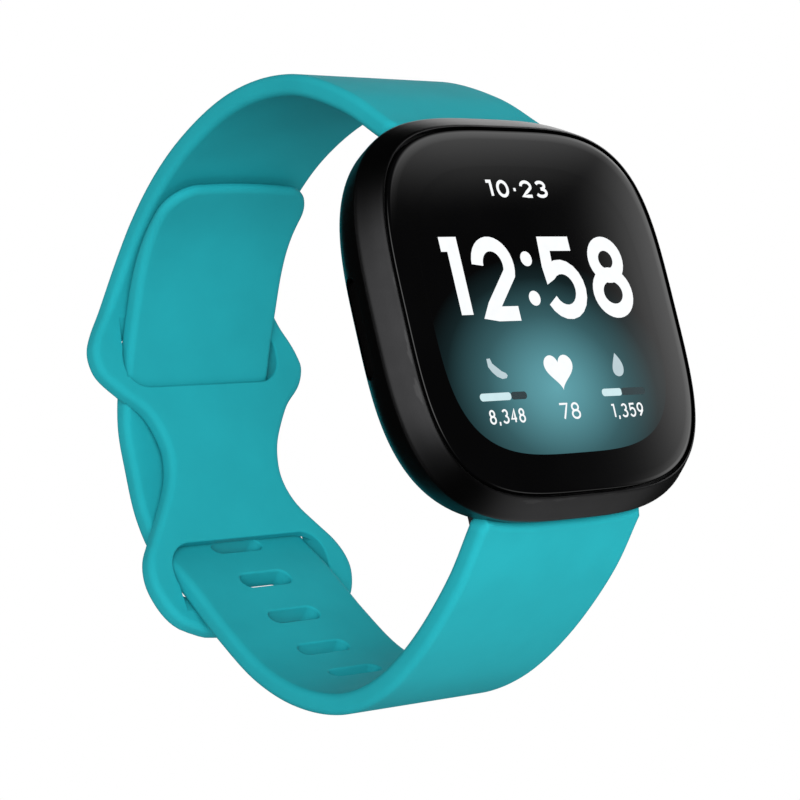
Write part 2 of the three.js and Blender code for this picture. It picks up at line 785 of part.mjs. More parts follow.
// One cross-section: a flat bar with chamfered long edges.
function strapRing(frame, half, thickness) {
  const edge = Math.min(strapEdge, (thickness - strapFlank) / 2);
  const corners = [
    [-half + edge, 0],
    [half - edge, 0],
    [half, edge],
    [half, thickness - edge],
    [half - edge, thickness],
    [-half + edge, thickness],
    [-half, thickness - edge],
    [-half, edge],
  ];
  return corners.map(([x, depth]) => frame.point.clone().addScaledVector(frame.inward, depth).setX(x));
}

function ease(from, to, share) {
  const t = Math.min(Math.max(share, 0), 1);
  return from + (to - from) * t * t * (3 - 2 * t);
}

// Half width of the upper half: wide at the case, bulging round each slot and waisted between them.
function upperHalf(point, share) {
  const taper = ease(strapRootHalf, strapHalf, share / 0.4);
  const between = (low, high) => (point.z - low) / (high - low);
  const rim = upperFace.at(-1)[1];
  if (share < 0.5 || point.z > earStart) return taper;
  if (point.z > earUpperRise) return ease(earUpperHalf, strapHalf, between(earUpperRise, earStart));
  if (point.z > waistRise) return ease(waistHalf, earUpperHalf, between(waistRise, earUpperRise));
  if (point.z > earLowerRise) return ease(earLowerHalf, waistHalf, between(earLowerRise, waistRise));
  const t = Math.min(between(earLowerRise, rim), 1);
  return earLowerHalf - (earLowerHalf - rimHalf) * (1 - Math.sqrt(1 - t * t));
}

// Half width of the lower half: wide at the case and rounded at the corners of its tip.
function lowerHalf(share, length) {
  const taper = ease(strapRootHalf, strapHalf, share / 0.3);
  const left = (1 - share) * length;
  if (left >= tailCorner) return taper;
  const t = 1 - left / tailCorner;
  return taper - tailCorner * (1 - Math.sqrt(1 - t * t));
}

// The room that the upper half leaves for the lower one where they cross and lie on each other.
function lowerPassage() {
  const curve = faceCurve(lowerFace);
  const rings = [];
  for (let i = 0; i <= strapStations / 2; i++) {
    const frame = strapFrame(curve, ease(0, 1, 0.5 + i / strapStations), -1);
    frame.point.addScaledVector(frame.inward, -slotGap);
    rings.push(strapRing(frame, strapHalf + slotSide, strapThickness + 2 * slotGap));
  }
  return loft(rings);
}

function makeStrapUpper() {
  const curve = faceCurve(upperFace);
  const rings = [];
  for (let i = 0; i <= strapStations; i++) {
    const share = i / strapStations;
    const frame = strapFrame(curve, share, 1);
    rings.push(strapRing(frame, upperHalf(frame.point, share), strapThickness));
  }
  let strap = loft(rings).subtract(lowerPassage());
  const slotHalf = strapHalf + slotSide;
  for (const [low, high] of [slotUpper, slotLower]) {
    const shape = roundedRectangle(slotHalf, (high - low) / 2, slotCorner);
    const cut = extrudeY(shape, plateFace - slotCutReach, plateFace + slotCutReach, 4);
    strap = strap.subtract(cut.translate([0, 0, (low + high) / 2]));
  }
  const seat = pegSeat();
  const pocketHalf = pegBaseHalf + stackGap;
  const pocket = roundedRectangle(pocketHalf, pocketHalf, pegBaseCorner + stackGap);
  const floor = plateFace - pegBaseThickness - 2 * stackGap;
  strap = strap.subtract(extrudeY(pocket, floor, plateFace + strapThickness, 4).translate([0, 0, seat.z]));
  part("strap_upper", strap.subtract(strapSocket(1)), finish.silicone);
}

// The share of the lower half's length at which it passes the peg's height, outside the plate.
function pegShare(curve) {
  let below = 0.5;
  let above = 1;
  for (let i = 0; i < 30; i++) {
    const middle = (below + above) / 2;
    if (curve.getPointAt(middle).z < pegRise) below = middle;
    else above = middle;
  }
  return below;
}

// The middle of the hole that the peg is in.
function pegSeat() {
  const curve = faceCurve(lowerFace);
  return curve.getPointAt(pegShare(curve));
}

function makeStrapLower() {
  const curve = faceCurve(lowerFace);
  const length = curve.getLength();
  const rings = [];
  for (let i = 0; i <= strapStations; i++) {
    const share = i / strapStations;
    const thin = ease(0, tailTaper, (share - 0.85) / 0.15);
    rings.push(strapRing(strapFrame(curve, share, -1), lowerHalf(share, length), strapThickness - thin));
  }
  let strap = loft(rings);
  for (let i = 0; i < holeCount; i++) {
    const share = pegShare(curve) + ((i - pegHole) * holePitch) / length;
    const frame = strapFrame(curve, share, -1);
    const shape = roundedRectangle(holeLength / 2, holeHeight / 2, holeHeight / 2 - hairline);
    const depth = 3 * strapThickness;
    const body = new THREE.ExtrudeGeometry(shape, { depth, bevelEnabled: false, curveSegments: 5 });
    body.translate(0, 0, -depth / 2);
    const along = new THREE.Vector3().crossVectors(frame.inward, axisX);
    body.applyMatrix4(new THREE.Matrix4().makeBasis(axisX, along, frame.inward).setPosition(frame.point));
    const hole = solid(body);
    strap = strap.subtract(hole.volume() > 0 ? hole : solid(flipped(body)));
  }
  part("strap_lower", strap.subtract(strapSocket(-1)), finish.silicone);
}

// The metal peg that holds the lower half: a base let into the middle plate and an oblong stud.
function makePeg() {
  const seat = pegSeat();
  const baseFront = plateFace - stackGap;
  const studEnd = seat.y + pegHeadRise;
  const baseShape = roundedRectangle(pegBaseHalf, pegBaseHalf, pegBaseCorner);
  const base = extrudeY(baseShape, baseFront - pegBaseThickness, baseFront);
  const studShape = roundedRectangle(pegLength / 2, pegHeight / 2, pegHeight / 2 - hairline);
  const stud = extrudeY(studShape, baseFront - sink, studEnd);
  const headShape = roundedRectangle(
    pegLength / 2 + pegHeadLip,
    pegHeight / 2 + pegHeadLip,
    pegHeight / 2 + pegHeadLip - hairline,
  );
  const head = extrudeY(headShape, studEnd - sink, studEnd + pegHeadThickness);
  part("clasp_peg", base.add(stud).add(head).translate([0, 0, seat.z]), finish.steel);
}

// ---- strap connectors, one at each end of the case

// The metal head lies inside the strap, in line with it.
function headOutline(side, room) {
  const curve = faceCurve(side > 0 ? upperFace : lowerFace);
  const skin = (strapThickness - headThickness) / 2;
  const frames = [0, headReach / curve.getLength()].map((share) => strapFrame(curve, share, side));
  const [near, far] = frames.map(({ point, inward }) => ({
    outer: point.clone().addScaledVector(inward, skin - room),
    inner: point.clone().addScaledVector(inward, skin + headThickness + room),
  }));
  return [near.outer, far.outer, far.inner, near.inner].map((p) => [p.y, p.z]);
}

function connectorOutline(side, room) {
  const [nearOuter, farOuter, farInner, nearInner] = headOutline(side, room);
  const tip = side * (tongueTip - room);
  return [
    [tongueFront - room, tip],
    [tongueFront - room, nearOuter[1] - side * neckFront],
    farOuter,
    farInner,
    [tongueRear + room, nearInner[1] + side * neckRear],
    [tongueRear + room, tip],
  ];
}

function connectorSolid(side, room) {
  const points = connectorOutline(side, room);
  if (side > 0) points.reverse();
  return extrudeX(polygon(points), -tongueHalf - room, tongueHalf + room);
}

// The room that the strap leaves for its connector and for the latch.
function strapSocket(side) {
  const latchRoom = box(
    [-latchHalf - slipGap, latchHalf + slipGap],
    [recessFloor, padFace + padRoom],
    span(side, tongueTip, latchTop + slipGap),
  );
  return connectorSolid(side, stackGap).add(latchRoom).add(caseRoom());
}

// The case's flank with a little room round it.
function caseRoom() {
  return loft([
    inset(0, rearRimInset - slipGap, boreExponent),
    inset(rearRimDepth, rearRimInset - slipGap, boreExponent),
    inset(flankDepth - flankMidTurn[0], flankInset + flankMidTurn[1] - slipGap),
    inset(flankDepth, flankInset - slipGap),
    inset(ridgeDepth, -slipGap),
    inset(caseDepth, -slipGap),
  ]);
}

function makeConnector(side, word) {
  const recess = box(
    [-latchHalf - slipGap, latchHalf + slipGap],
    [recessFloor, 0],
    span(side, tongueTip - through, latchTop + slipGap),
  );
  part(word + "_connector", connectorSolid(side, 0).subtract(recess), finish.steel);

  const arm = box(
    [-latchHalf, latchHalf],
    [tongueRear - latchArm, tongueRear],
    span(side, tongueTip, latchTop),
  );
  const tooth = box(
    [-latchHalf, latchHalf],
    [tongueRear - sink, tongueRear + latchTooth],
    span(side, tongueTip, tongueTip + toothHeight),
  );
  const padSpan = span(side, latchTop - padHeight, latchTop);
  const pad = box([-latchHalf, latchHalf], [tongueRear - sink, padFace], padSpan);
  part(word + "_latch", arm.add(tooth).add(pad), finish.steel);

  part(word + "_latch_spring", coil(side), finish.steel);
}

// The return spring between the latch and the floor of its recess.
function coil(side) {
  const from = recessFloor + springWire / 2 + stackGap / 2;
  const to = tongueRear - latchArm - springWire / 2 - stackGap / 2;
  const turnPoints = 10;
  const points = [];
  for (let i = 0; i <= springTurns * turnPoints; i++) {
    const angle = (2 * Math.PI * i) / turnPoints;
    const rise = from + ((to - from) * i) / (springTurns * turnPoints);
    const z = side * springCentre + springRadius * Math.sin(angle);
    points.push(new THREE.Vector3(springRadius * Math.cos(angle), rise, z));
  }
  const wire = new THREE.Shape();
  wire.absarc(0, 0, springWire / 2, 0, 2 * Math.PI);
  const path = new THREE.CatmullRomCurve3(points);
  const body = new THREE.ExtrudeGeometry(wire, {
    extrudePath: path,
    steps: springTurns * turnPoints,
    curveSegments: 6,
  });
  const made = solid(body);
  return made.volume() > 0 ? made : solid(flipped(body));
}

part("case_frame", makeCaseFrame(), finish.anodised);
makeGlass();
makeDisplay();
makeChassis();
makeBoard();
makeBattery();
makeMotor();
makeBackCover();
makeSensorWindow();
makeSensors();
makeContacts();
makeScrews();
makeSideKey();
makeStrapUpper();
makeStrapLower();
makePeg();
makeConnector(1, "upper");
makeConnector(-1, "lower");

export default tracker;
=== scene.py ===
"""Fitness tracker band: the looks of the strap, the case and the lit face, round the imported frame."""

import math

import bmesh
import bpy
import numpy as np
from bpy.props import FloatProperty, FloatVectorProperty, IntProperty, PointerProperty
from mathutils import Matrix, Vector


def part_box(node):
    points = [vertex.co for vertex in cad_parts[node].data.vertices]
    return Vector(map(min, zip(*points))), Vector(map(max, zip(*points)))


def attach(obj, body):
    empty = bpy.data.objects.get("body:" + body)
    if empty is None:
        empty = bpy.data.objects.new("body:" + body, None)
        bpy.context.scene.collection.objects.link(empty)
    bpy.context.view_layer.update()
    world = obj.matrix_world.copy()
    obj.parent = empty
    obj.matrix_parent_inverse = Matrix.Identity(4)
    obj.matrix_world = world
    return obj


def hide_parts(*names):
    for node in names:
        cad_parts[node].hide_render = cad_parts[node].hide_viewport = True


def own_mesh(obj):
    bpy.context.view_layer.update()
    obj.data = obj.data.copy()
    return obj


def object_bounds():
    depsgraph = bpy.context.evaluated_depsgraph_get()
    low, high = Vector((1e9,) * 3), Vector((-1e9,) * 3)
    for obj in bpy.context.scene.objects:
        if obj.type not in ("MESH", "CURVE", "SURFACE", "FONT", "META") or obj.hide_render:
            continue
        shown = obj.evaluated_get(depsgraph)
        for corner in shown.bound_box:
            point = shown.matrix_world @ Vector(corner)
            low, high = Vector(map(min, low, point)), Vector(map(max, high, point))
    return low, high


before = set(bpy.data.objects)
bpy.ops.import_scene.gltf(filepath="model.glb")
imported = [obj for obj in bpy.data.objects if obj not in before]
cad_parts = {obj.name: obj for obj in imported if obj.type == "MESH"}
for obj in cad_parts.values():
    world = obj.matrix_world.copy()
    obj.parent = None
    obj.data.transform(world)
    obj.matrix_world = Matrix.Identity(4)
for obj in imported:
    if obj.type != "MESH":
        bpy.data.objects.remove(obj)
cad_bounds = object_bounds()

bl_info = {
    "name": "Fitness Tracker Band",
    "version": (1, 0, 0),
    "blender": (4, 5, 0),
    "location": "View3D > Sidebar > Tracker",
    "description": "Builds a rounded-square fitness tracker on its closed silicone strap",
    "category": "Add Mesh",
}

MM = 0.001
CASE_LOW, CASE_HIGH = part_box("case_frame")
GLASS_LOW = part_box("cover_glass")[0]
SCREEN_LOW, SCREEN_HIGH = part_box("display_panel")


# ---- sizes and colours


def length(name, description, default):
    """A size in metres."""
    limits = {"min": 0.0, "unit": "LENGTH", "subtype": "DISTANCE", "precision": 5}
    return FloatProperty(name=name, description=description, default=default, **limits)


def colour(name, description, default):
    limits = {"subtype": "COLOR", "size": 3, "min": 0.0, "max": 1.0}
    return FloatVectorProperty(name=name, description=description, default=default, **limits)


class TrackerCaseSizes(bpy.types.PropertyGroup):
    """Sizes of the case and what shows on its face."""

    width: length("Case width", "Widest size of the case across", CASE_HIGH[0] - CASE_LOW[0])
    height: length("Case height", "Widest size of the case from 12 to 6 o'clock", CASE_HIGH[2] - CASE_LOW[2])
    depth: length("Case depth", "From the wrist to the top of the glass", -GLASS_LOW[1])
    dome: length("Glass dome", "Rise of the glass from its edge to its middle", 0.0004)
    rounds: IntProperty(name="Points round", description="Points round the case outline", default=240, min=48)
    key_length: length("Key length", "Length of the side key", 0.0096)
    key_height: length("Key height", "Height of the side key", 0.0020)
    digit_height: length("Digit height", "Height of the time digits", 0.0084)
    digit_stroke: length("Digit stroke", "Width of the strokes of the time digits", 0.00145)


class TrackerStrapSizes(bpy.types.PropertyGroup):
    """Sizes of the strap."""

    thickness: length("Thickness", "Thickness of the strap", 0.0022)
    root_width: length("Root width", "Width of the strap at the case", 0.0220)
    width: length("Width", "Width of the strap along its length", 0.0200)
    edge: length("Edge rounding", "Radius of the long edges", 0.00075)
    opening_edge: length("Opening rounding", "Radius of the edges of the slots and the holes", 0.00022)
    hole_length: length("Hole length", "Length of the adjusting holes", 0.0067)
    hole_height: length("Hole height", "Height of the adjusting holes", 0.00205)
    hole_pitch: length("Hole pitch", "From one hole to the next", 0.0059)
    hole_first: length("First hole", "Along the strap from the case to the first hole", 0.0398)
    holes: IntProperty(name="Holes", description="Number of adjusting holes", default=8, min=1, max=12)
    slot_width: length("Slot width", "Width of the two slots", 0.0214)
    slot_shift: length("Slot shift", "How far the slots sit to the right of the middle", 0.0004)
    slot_corner: length("Slot corner", "Corner radius of the two slots", 0.0030)
    slot_gap: length("Slot gap", "Room round the strap where it passes through a slot", 0.0003)
    tip_corner: length("Tip corner", "Corner radius of the strap's tip", 0.0042)
    tip_taper: length("Tip taper", "Thickness lost towards the tip", 0.0009)


class TrackerColours(bpy.types.PropertyGroup):
    """Colours of the tracker."""

    strap: colour("Strap", "Silicone of the strap", (0.016, 0.345, 0.395))
    case: colour("Case", "Dyed aluminium of the case", (0.034, 0.034, 0.035))
    glow: colour("Screen glow", "Middle of the lit patch on the screen", (0.125, 0.375, 0.425))
    marks: colour("Marks", "Digits on the screen", (0.950, 0.970, 0.980))
    dim_marks: colour("Dim marks", "Small pictures and tracks on the screen", (0.480, 0.600, 0.640))
    peg: colour("Peg", "Metal of the peg and the connectors", (0.420, 0.430, 0.440))
    floor: colour("Floor", "Floor under the tracker", (0.830, 0.830, 0.830))


# ---- finishes


def new_finish(name):
    """An empty node tree with a Principled shader in it."""
    finish = bpy.data.materials.new(name)
    finish.use_nodes = True
    tree = finish.node_tree
    shader = next(node for node in tree.nodes if node.type == "BSDF_PRINCIPLED")
    return finish, tree, shader


def place_on_object(tree, scale=(1.0, 1.0, 1.0), offset=(0.0, 0.0, 0.0)):
    """Object coordinates, stretched and shifted."""
    where = tree.nodes.new("ShaderNodeTexCoord")
    mapping = tree.nodes.new("ShaderNodeMapping")
    mapping.inputs["Scale"].default_value = scale
    mapping.inputs["Location"].default_value = offset
    tree.links.new(where.outputs["Object"], mapping.inputs["Vector"])
    return mapping.outputs["Vector"]


def noise(tree, where, scale, detail=3.0, roughness=0.55):
    grain = tree.nodes.new("ShaderNodeTexNoise")
    grain.inputs["Scale"].default_value = scale
    grain.inputs["Detail"].default_value = detail
    grain.inputs["Roughness"].default_value = roughness
    tree.links.new(where, grain.inputs["Vector"])
    return grain.outputs["Fac"]


def ramp(tree, value, stops):
    """Colours along a value."""
    band = tree.nodes.new("ShaderNodeValToRGB")
    steps = band.color_ramp.elements
    while len(steps) < len(stops):
        steps.new(0.5)
    for step, (position, tint) in zip(steps, stops):
        step.position = position
        step.color = (*tint, 1.0)
    tree.links.new(value, band.inputs["Fac"])
    return band.outputs["Color"]


def spread(tree, value, low, high):
    """A value of 0 to 1 spread over a range."""
    stretch = tree.nodes.new("ShaderNodeMapRange")
    stretch.inputs["To Min"].default_value = low
    stretch.inputs["To Max"].default_value = high
    tree.links.new(value, stretch.inputs["Value"])
    return stretch.outputs["Result"]


def shades(tint, spread_by):
    """A darker and a lighter shade of a colour."""
    return [tuple(min(1.0, channel * (1.0 + side * spread_by)) for channel in tint) for side in (-1, 1)]


def bumped(tree, shader, height, strength, distance):
    bump = tree.nodes.new("ShaderNodeBump")
    bump.inputs["Strength"].default_value = strength
    bump.inputs["Distance"].default_value = distance
    tree.links.new(height, bump.inputs["Height"])
    tree.links.new(bump.outputs["Normal"], shader.inputs["Normal"])


def grained(
    name,
    tint,
    rough,
    metal=0.0,
    tone=0.08,
    tone_scale=260.0,
    grain_scale=3600.0,
    grain=0.15,
    stretch=(1.0, 1.0, 1.0),
):
    """A finish with cloudy tone, uneven gloss and a fine grain, all set on the object's own coordinates."""
    finish, tree, shader = new_finish(name)
    where = place_on_object(tree, stretch)
    cloud = noise(tree, where, tone_scale)
    fine = noise(tree, where, grain_scale, 2.0)
    dark, light = shades(tint, tone)
    tree.links.new(ramp(tree, cloud, [(0.3, dark), (0.7, light)]), shader.inputs["Base Color"])
    tree.links.new(spread(tree, fine, rough[0], rough[1]), shader.inputs["Roughness"])
    shader.inputs["Metallic"].default_value = metal
    bumped(tree, shader, fine, grain, 0.00002)
    return finish, tree, shader


def silicone_finish(colours):
    """Matte moulded silicone: a soft powdery grain over an even colour."""
    grain = {"tone": 0.035, "tone_scale": 140.0, "grain_scale": 5200.0, "grain": 0.22}
    finish, _, shader = grained("teal_silicone", colours.strap, (0.56, 0.68), **grain)
    shader.inputs["Specular IOR Level"].default_value = 0.08
    shader.inputs["Subsurface Weight"].default_value = 0.12
    shader.inputs["Subsurface Radius"].default_value = (0.0004, 0.0010, 0.0011)
    return finish


def case_finish(colours):
    """Bead-blasted and dyed aluminium, with a painted highlight that makes its sharp outer edges a little
    paler.
    """
    finish, tree, shader = new_finish("black_anodised")
    where = place_on_object(tree)
    cloud = noise(tree, where, 180.0)
    fine = noise(tree, where, 6500.0, 2.0)
    dark, light = shades(colours.case, 0.10)
    base = ramp(tree, cloud, [(0.3, dark), (0.7, light)])
    shape = tree.nodes.new("ShaderNodeNewGeometry")
    # Painted highlight: sharp outer edges (high pointiness) are lightened to stand in for light caught along
    # the ridge.
    edge_highlight = ramp(tree, shape.outputs["Pointiness"], [(0.50, (0.0, 0.0, 0.0)), (0.56, (0.12, 0.12, 0.12))])
    lift = tree.nodes.new("ShaderNodeMix")
    lift.data_type = "RGBA"
    lift.blend_type = "ADD"
    lift.inputs["Factor"].default_value = 0.12
    tree.links.new(base, lift.inputs["A"])
    tree.links.new(edge_highlight, lift.inputs["B"])
    tree.links.new(lift.outputs["Result"], shader.inputs["Base Color"])
    tree.links.new(spread(tree, fine, 0.30, 0.40), shader.inputs["Roughness"])
    shader.inputs["Metallic"].default_value = 1.0
    bumped(tree, shader, fine, 0.06, 0.00001)
    return finish


def smoked_glass_finish():
    """Dark see-through glass with the faintest smears in its gloss."""
    finish, tree, shader = new_finish("sensor_glass_smoked")
    smear = noise(tree, place_on_object(tree, (1.0, 1.0, 0.6)), 120.0)
    tree.links.new(spread(tree, smear, 0.02, 0.05), shader.inputs["Roughness"])
    dark, light = shades((0.10, 0.11, 0.12), 0.05)
    tree.links.new(ramp(tree, smear, [(0.2, dark), (0.8, light)]), shader.inputs["Base Color"])
    shader.inputs["Transmission Weight"].default_value = 1.0
    shader.inputs["IOR"].default_value = 1.5
    return finish


def printed_glass_finish(name):
    """Glass printed black on its back: a deep black under a clean gloss."""
    finish, tree, shader = new_finish(name)
    smear = noise(tree, place_on_object(tree, (1.0, 1.0, 0.6)), 110.0)
    tree.links.new(spread(tree, smear, 0.05, 0.075), shader.inputs["Roughness"])
    black = [(0.3, (0.0010, 0.0010, 0.0011)), (0.7, (0.0016, 0.0016, 0.0017))]
    tree.links.new(ramp(tree, smear, black), shader.inputs["Base Color"])
    shader.inputs["IOR"].default_value = 1.5
    return finish, tree, shader


def screen_finish(colours):
    """A dark display with a soft lit patch in its lower half."""
    finish, tree, shader = printed_glass_finish("lit_screen")
    patch = place_on_object(tree, (1.0 / 0.0165, 0.0, 1.0 / 0.0130), (0.087, 0.0, 0.614))
    ball = tree.nodes.new("ShaderNodeTexGradient")
    ball.gradient_type = "SPHERICAL"
    tree.links.new(patch, ball.inputs["Vector"])
    levels = ((0.0, 0.0), (0.16, 0.04), (0.45, 0.28), (0.78, 0.76), (1.0, 1.0))
    stops = [(share, tuple(level * channel for channel in colours.glow)) for share, level in levels]
    tree.links.new(ramp(tree, ball.outputs["Fac"], stops), shader.inputs["Emission Color"])
    shader.inputs["Emission Strength"].default_value = 1.0
    return finish


def light_mark(name, tint, strength):
    """Lit picture elements, with a faint fall-off from one to the next."""
    finish, tree, shader = new_finish(name)
    fine = noise(tree, place_on_object(tree), 1400.0)
    dark, light = shades(tint, 0.02)
    shade = ramp(tree, fine, [(0.3, dark), (0.7, light)])
    tree.links.new(shade, shader.inputs["Emission Color"])
    shader.inputs["Emission Strength"].default_value = strength
    shader.inputs["Base Color"].default_value = (0.0, 0.0, 0.0, 1.0)
    shader.inputs["Roughness"].default_value = 0.5
    return finish


def board_finish():
    """Green solder mask over copper tracks."""
    finish, tree, shader = new_finish("circuit_board")
    where = place_on_object(tree)
    tracks = tree.nodes.new("ShaderNodeTexBrick")
    tracks.inputs["Scale"].default_value = 420.0
    tracks.inputs["Color1"].default_value = (0.010, 0.115, 0.045, 1.0)
    tracks.inputs["Color2"].default_value = (0.016, 0.150, 0.060, 1.0)
    tracks.inputs["Mortar"].default_value = (0.006, 0.060, 0.026, 1.0)
    tracks.inputs["Mortar Size"].default_value = 0.06
    swap = tree.nodes.new("ShaderNodeMapping")
    swap.inputs["Rotation"].default_value = (math.pi / 2, 0.0, 0.0)
    tree.links.new(where, swap.inputs["Vector"])
    tree.links.new(swap.outputs["Vector"], tracks.inputs["Vector"])
    tree.links.new(tracks.outputs["Color"], shader.inputs["Base Color"])
    tree.links.new(spread(tree, noise(tree, where, 900.0), 0.30, 0.45), shader.inputs["Roughness"])
    bumped(tree, shader, tracks.outputs["Fac"], 0.3, 0.00002)
    return finish


def make_finishes(colours):
    """Every finish of the tracker, by the name it goes by here."""
    plain = {
        "polymer": ((0.012, 0.012, 0.013), (0.42, 0.52), 0.0),
        "seal": ((0.008, 0.008, 0.008), (0.60, 0.72), 0.0),
        "flex": ((0.420, 0.160, 0.030), (0.40, 0.52), 0.0),
        "steel": ((0.560, 0.570, 0.580), (0.22, 0.36), 1.0),
        "foil": ((0.400, 0.410, 0.430), (0.32, 0.46), 0.7),
        "gold": ((0.680, 0.430, 0.130), (0.20, 0.32), 1.0),
        "green_chip": ((0.160, 0.620, 0.200), (0.25, 0.38), 0.0),
        "diode": ((0.018, 0.020, 0.028), (0.20, 0.30), 0.0),
    }
    made = {}
    for name, (tint, rough, metal) in plain.items():
        made[name] = grained(name, tint, rough, metal)[0]
    made["peg"] = grained("brushed_peg", colours.peg, (0.24, 0.38), 1.0, stretch=(0.12, 1.0, 1.0))[0]
    made["silicone"] = silicone_finish(colours)
    made["case"] = case_finish(colours)
    made["glass"] = printed_glass_finish("cover_glass_black")[0]
    made["sensor_glass"] = smoked_glass_finish()
    made["screen"] = screen_finish(colours)
    made["marks"] = light_mark("bright_marks", colours.marks, 1.0)
    made["dim_marks"] = light_mark("dim_marks", colours.dim_marks, 1.0)
    made["bars"] = light_mark("bar_filled", (0.600, 0.800, 0.830), 1.0)
    made["track"] = light_mark("bar_track", (0.010, 0.030, 0.036), 1.0)
    made["board"] = board_finish()
    return made


FINISHES = {}


def finish_for(name):
    """A finish by name; all are made the first time that one is asked for."""
    if not FINISHES:
        FINISHES.update(make_finishes(bpy.context.scene.tracker_colours))
    return FINISHES[name]


# ---- shaping


def new_work():
    """An empty mesh whose points remember their place in an outline."""
    work = bmesh.new()
    work.verts.layers.int.new("place")
    return work


def skin(work, rings):
    """Extrudes a closed ring of points through the rings that follow; returns its first and last edges."""
    place = work.verts.layers.int["place"]
    start = bmesh.ops.create_circle(work, cap_ends=False, segments=len(rings[0]), radius=1.0)["verts"]
    for i, vert in enumerate(start):
        vert[place] = i
        vert.co = rings[0][i]
    edges = list({edge for vert in start for edge in vert.link_edges})
    first = edges
    for ring in rings[1:]:
        grown = bmesh.ops.extrude_edge_only(work, edges=edges)["geom"]
        verts = {item for item in grown if isinstance(item, bmesh.types.BMVert)}
        for vert in verts:
            vert.co = ring[vert[place]]
        edges = list({edge for vert in verts for edge in vert.link_edges if edge.other_vert(vert) in verts})
    return first, edges


def closed_skin(work, rings):
    """A skin through rings, filled at both ends."""
    for edges in skin(work, rings):
        bmesh.ops.edgeloop_fill(work, edges=edges)


def squircle(half_x, half_z, squareness, count):
    """Points of a rounded square."""
    turn = np.linspace(0.0, 2.0 * math.pi, count, endpoint=False)
    across, up = np.cos(turn), np.sin(turn)
    reach = (np.abs(across) ** squareness + np.abs(up) ** squareness) ** (-1.0 / squareness)
    return np.column_stack([half_x * reach * across, half_z * reach * up])


def circle(radius, count):
    return squircle(radius, radius, 2.0, count)


def stadium(length_x, height_z, count=48):
    """Points of a bar with round ends."""
    radius = height_z / 2.0
    turn = np.linspace(-math.pi / 2, 1.5 * math.pi, count, endpoint=False)
    shift = np.where(np.arange(count) < count / 2, 1.0, -1.0) * (length_x / 2.0 - radius)
    return np.column_stack([radius * np.cos(turn) + shift, radius * np.sin(turn)])


def rounded_box(half_x, half_z, corner, count=48):
    """Points of a rectangle with round corners."""
    quarter = count // 4
    points = []
    for k, (side_x, side_z) in enumerate([(1, 1), (-1, 1), (-1, -1), (1, -1)]):
        for angle in np.linspace(k * math.pi / 2, (k + 1) * math.pi / 2, quarter):
            x = side_x * (half_x - corner) + corner * math.cos(angle)
            z = side_z * (half_z - corner) + corner * math.sin(angle)
            points.append((x, z))
    return np.array(points)


def at_depth(outline, depth):
    """An outline of the case's face at a depth from the wrist."""
    return np.column_stack([outline[:, 0], np.full(len(outline), -depth), outline[:, 1]])


def smooth_table(table, steps):
    """A table of numbers with smooth steps put in between its rows."""
    rows = np.array(table, dtype=float)
    padded = np.vstack([2 * rows[0] - rows[1], rows, 2 * rows[-1] - rows[-2]])
    made = []
    for i in range(1, len(padded) - 2):
        before, near, far, after = padded[i - 1 : i + 3]
        for step in range(steps):
            t = step / steps
            made.append(
                0.5
                * (
                    2 * near
                    + (far - before) * t
                    + (2 * before - 5 * near + 4 * far - after) * t**2
                    + (3 * near - before - 3 * far + after) * t**3
                )
            )
    made.append(rows[-1])
    return np.array(made)


def loose(name, work, close_seam=False):
    """A mesh object, at the origin, from work done in millimetres."""
    if close_seam:
        bmesh.ops.remove_doubles(work, verts=work.verts, dist=0.0005)
    bmesh.ops.recalc_face_normals(work, faces=work.faces)
    bmesh.ops.scale(work, vec=(MM, MM, MM), verts=work.verts)
    mesh = bpy.data.meshes.new(name)
    work.to_mesh(mesh)
    work.free()
    made = bpy.data.objects.new(name, mesh)
    bpy.context.scene.collection.objects.link(made)
    return made


def cut_away(piece, cutters, operation="DIFFERENCE", join=0.0):
    """Cuts solids out of a piece, removes them, and can join points of the cut that all but meet."""
    for cutter in cutters:
        cut = piece.modifiers.new("cut", "BOOLEAN")
        cut.operation = operation
        cut.solver = "EXACT"
        cut.object = cutter
    bpy.context.view_layer.update()
    whole = piece.evaluated_get(bpy.context.evaluated_depsgraph_get())
    piece_mesh = bpy.data.meshes.new_from_object(whole)
    if join:
        work = bmesh.new()
        work.from_mesh(piece_mesh)
        bmesh.ops.remove_doubles(work, verts=work.verts, dist=join)
        bmesh.ops.dissolve_degenerate(work, edges=work.edges, dist=join)
        work.to_mesh(piece_mesh)
        work.free()
    piece.modifiers.clear()
    piece.data = piece_mesh
    for cutter in cutters:
        bpy.data.objects.remove(cutter)


def shade_by_angle(piece, degrees):
    """Smooth faces, with a crease wherever two meet at more than an angle."""
    work = bmesh.new()
    work.from_mesh(piece.data)
    for face in work.faces:
        face.smooth = True
    for edge in work.edges:
        if len(edge.link_faces) == 2:
            edge.smooth = edge.calc_face_angle(0.0) < math.radians(degrees)
    work.to_mesh(piece.data)
    work.free()


def settle(piece, finish, body, stands_for, crease=35.0):
    """Gives a piece its finish and shading, and says what it rides on and stands for."""
    shade_by_angle(piece, crease)
    piece.data.materials.clear()
    piece.data.materials.append(finish)
    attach(piece, body)
    if stands_for:
        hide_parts(*stands_for)


def bar_solid(name, x, y, z):
    """A plain block to cut with, between two values on each axis."""
    work = new_work()
    bmesh.ops.create_cube(work, size=1.0)
    bmesh.ops.scale(work, vec=(x[1] - x[0], y[1] - y[0], z[1] - z[0]), verts=work.verts)
    middle = ((x[0] + x[1]) / 2, (y[0] + y[1]) / 2, (z[0] + z[1]) / 2)
    bmesh.ops.translate(work, vec=middle, verts=work.verts)
    return loose(name, work)


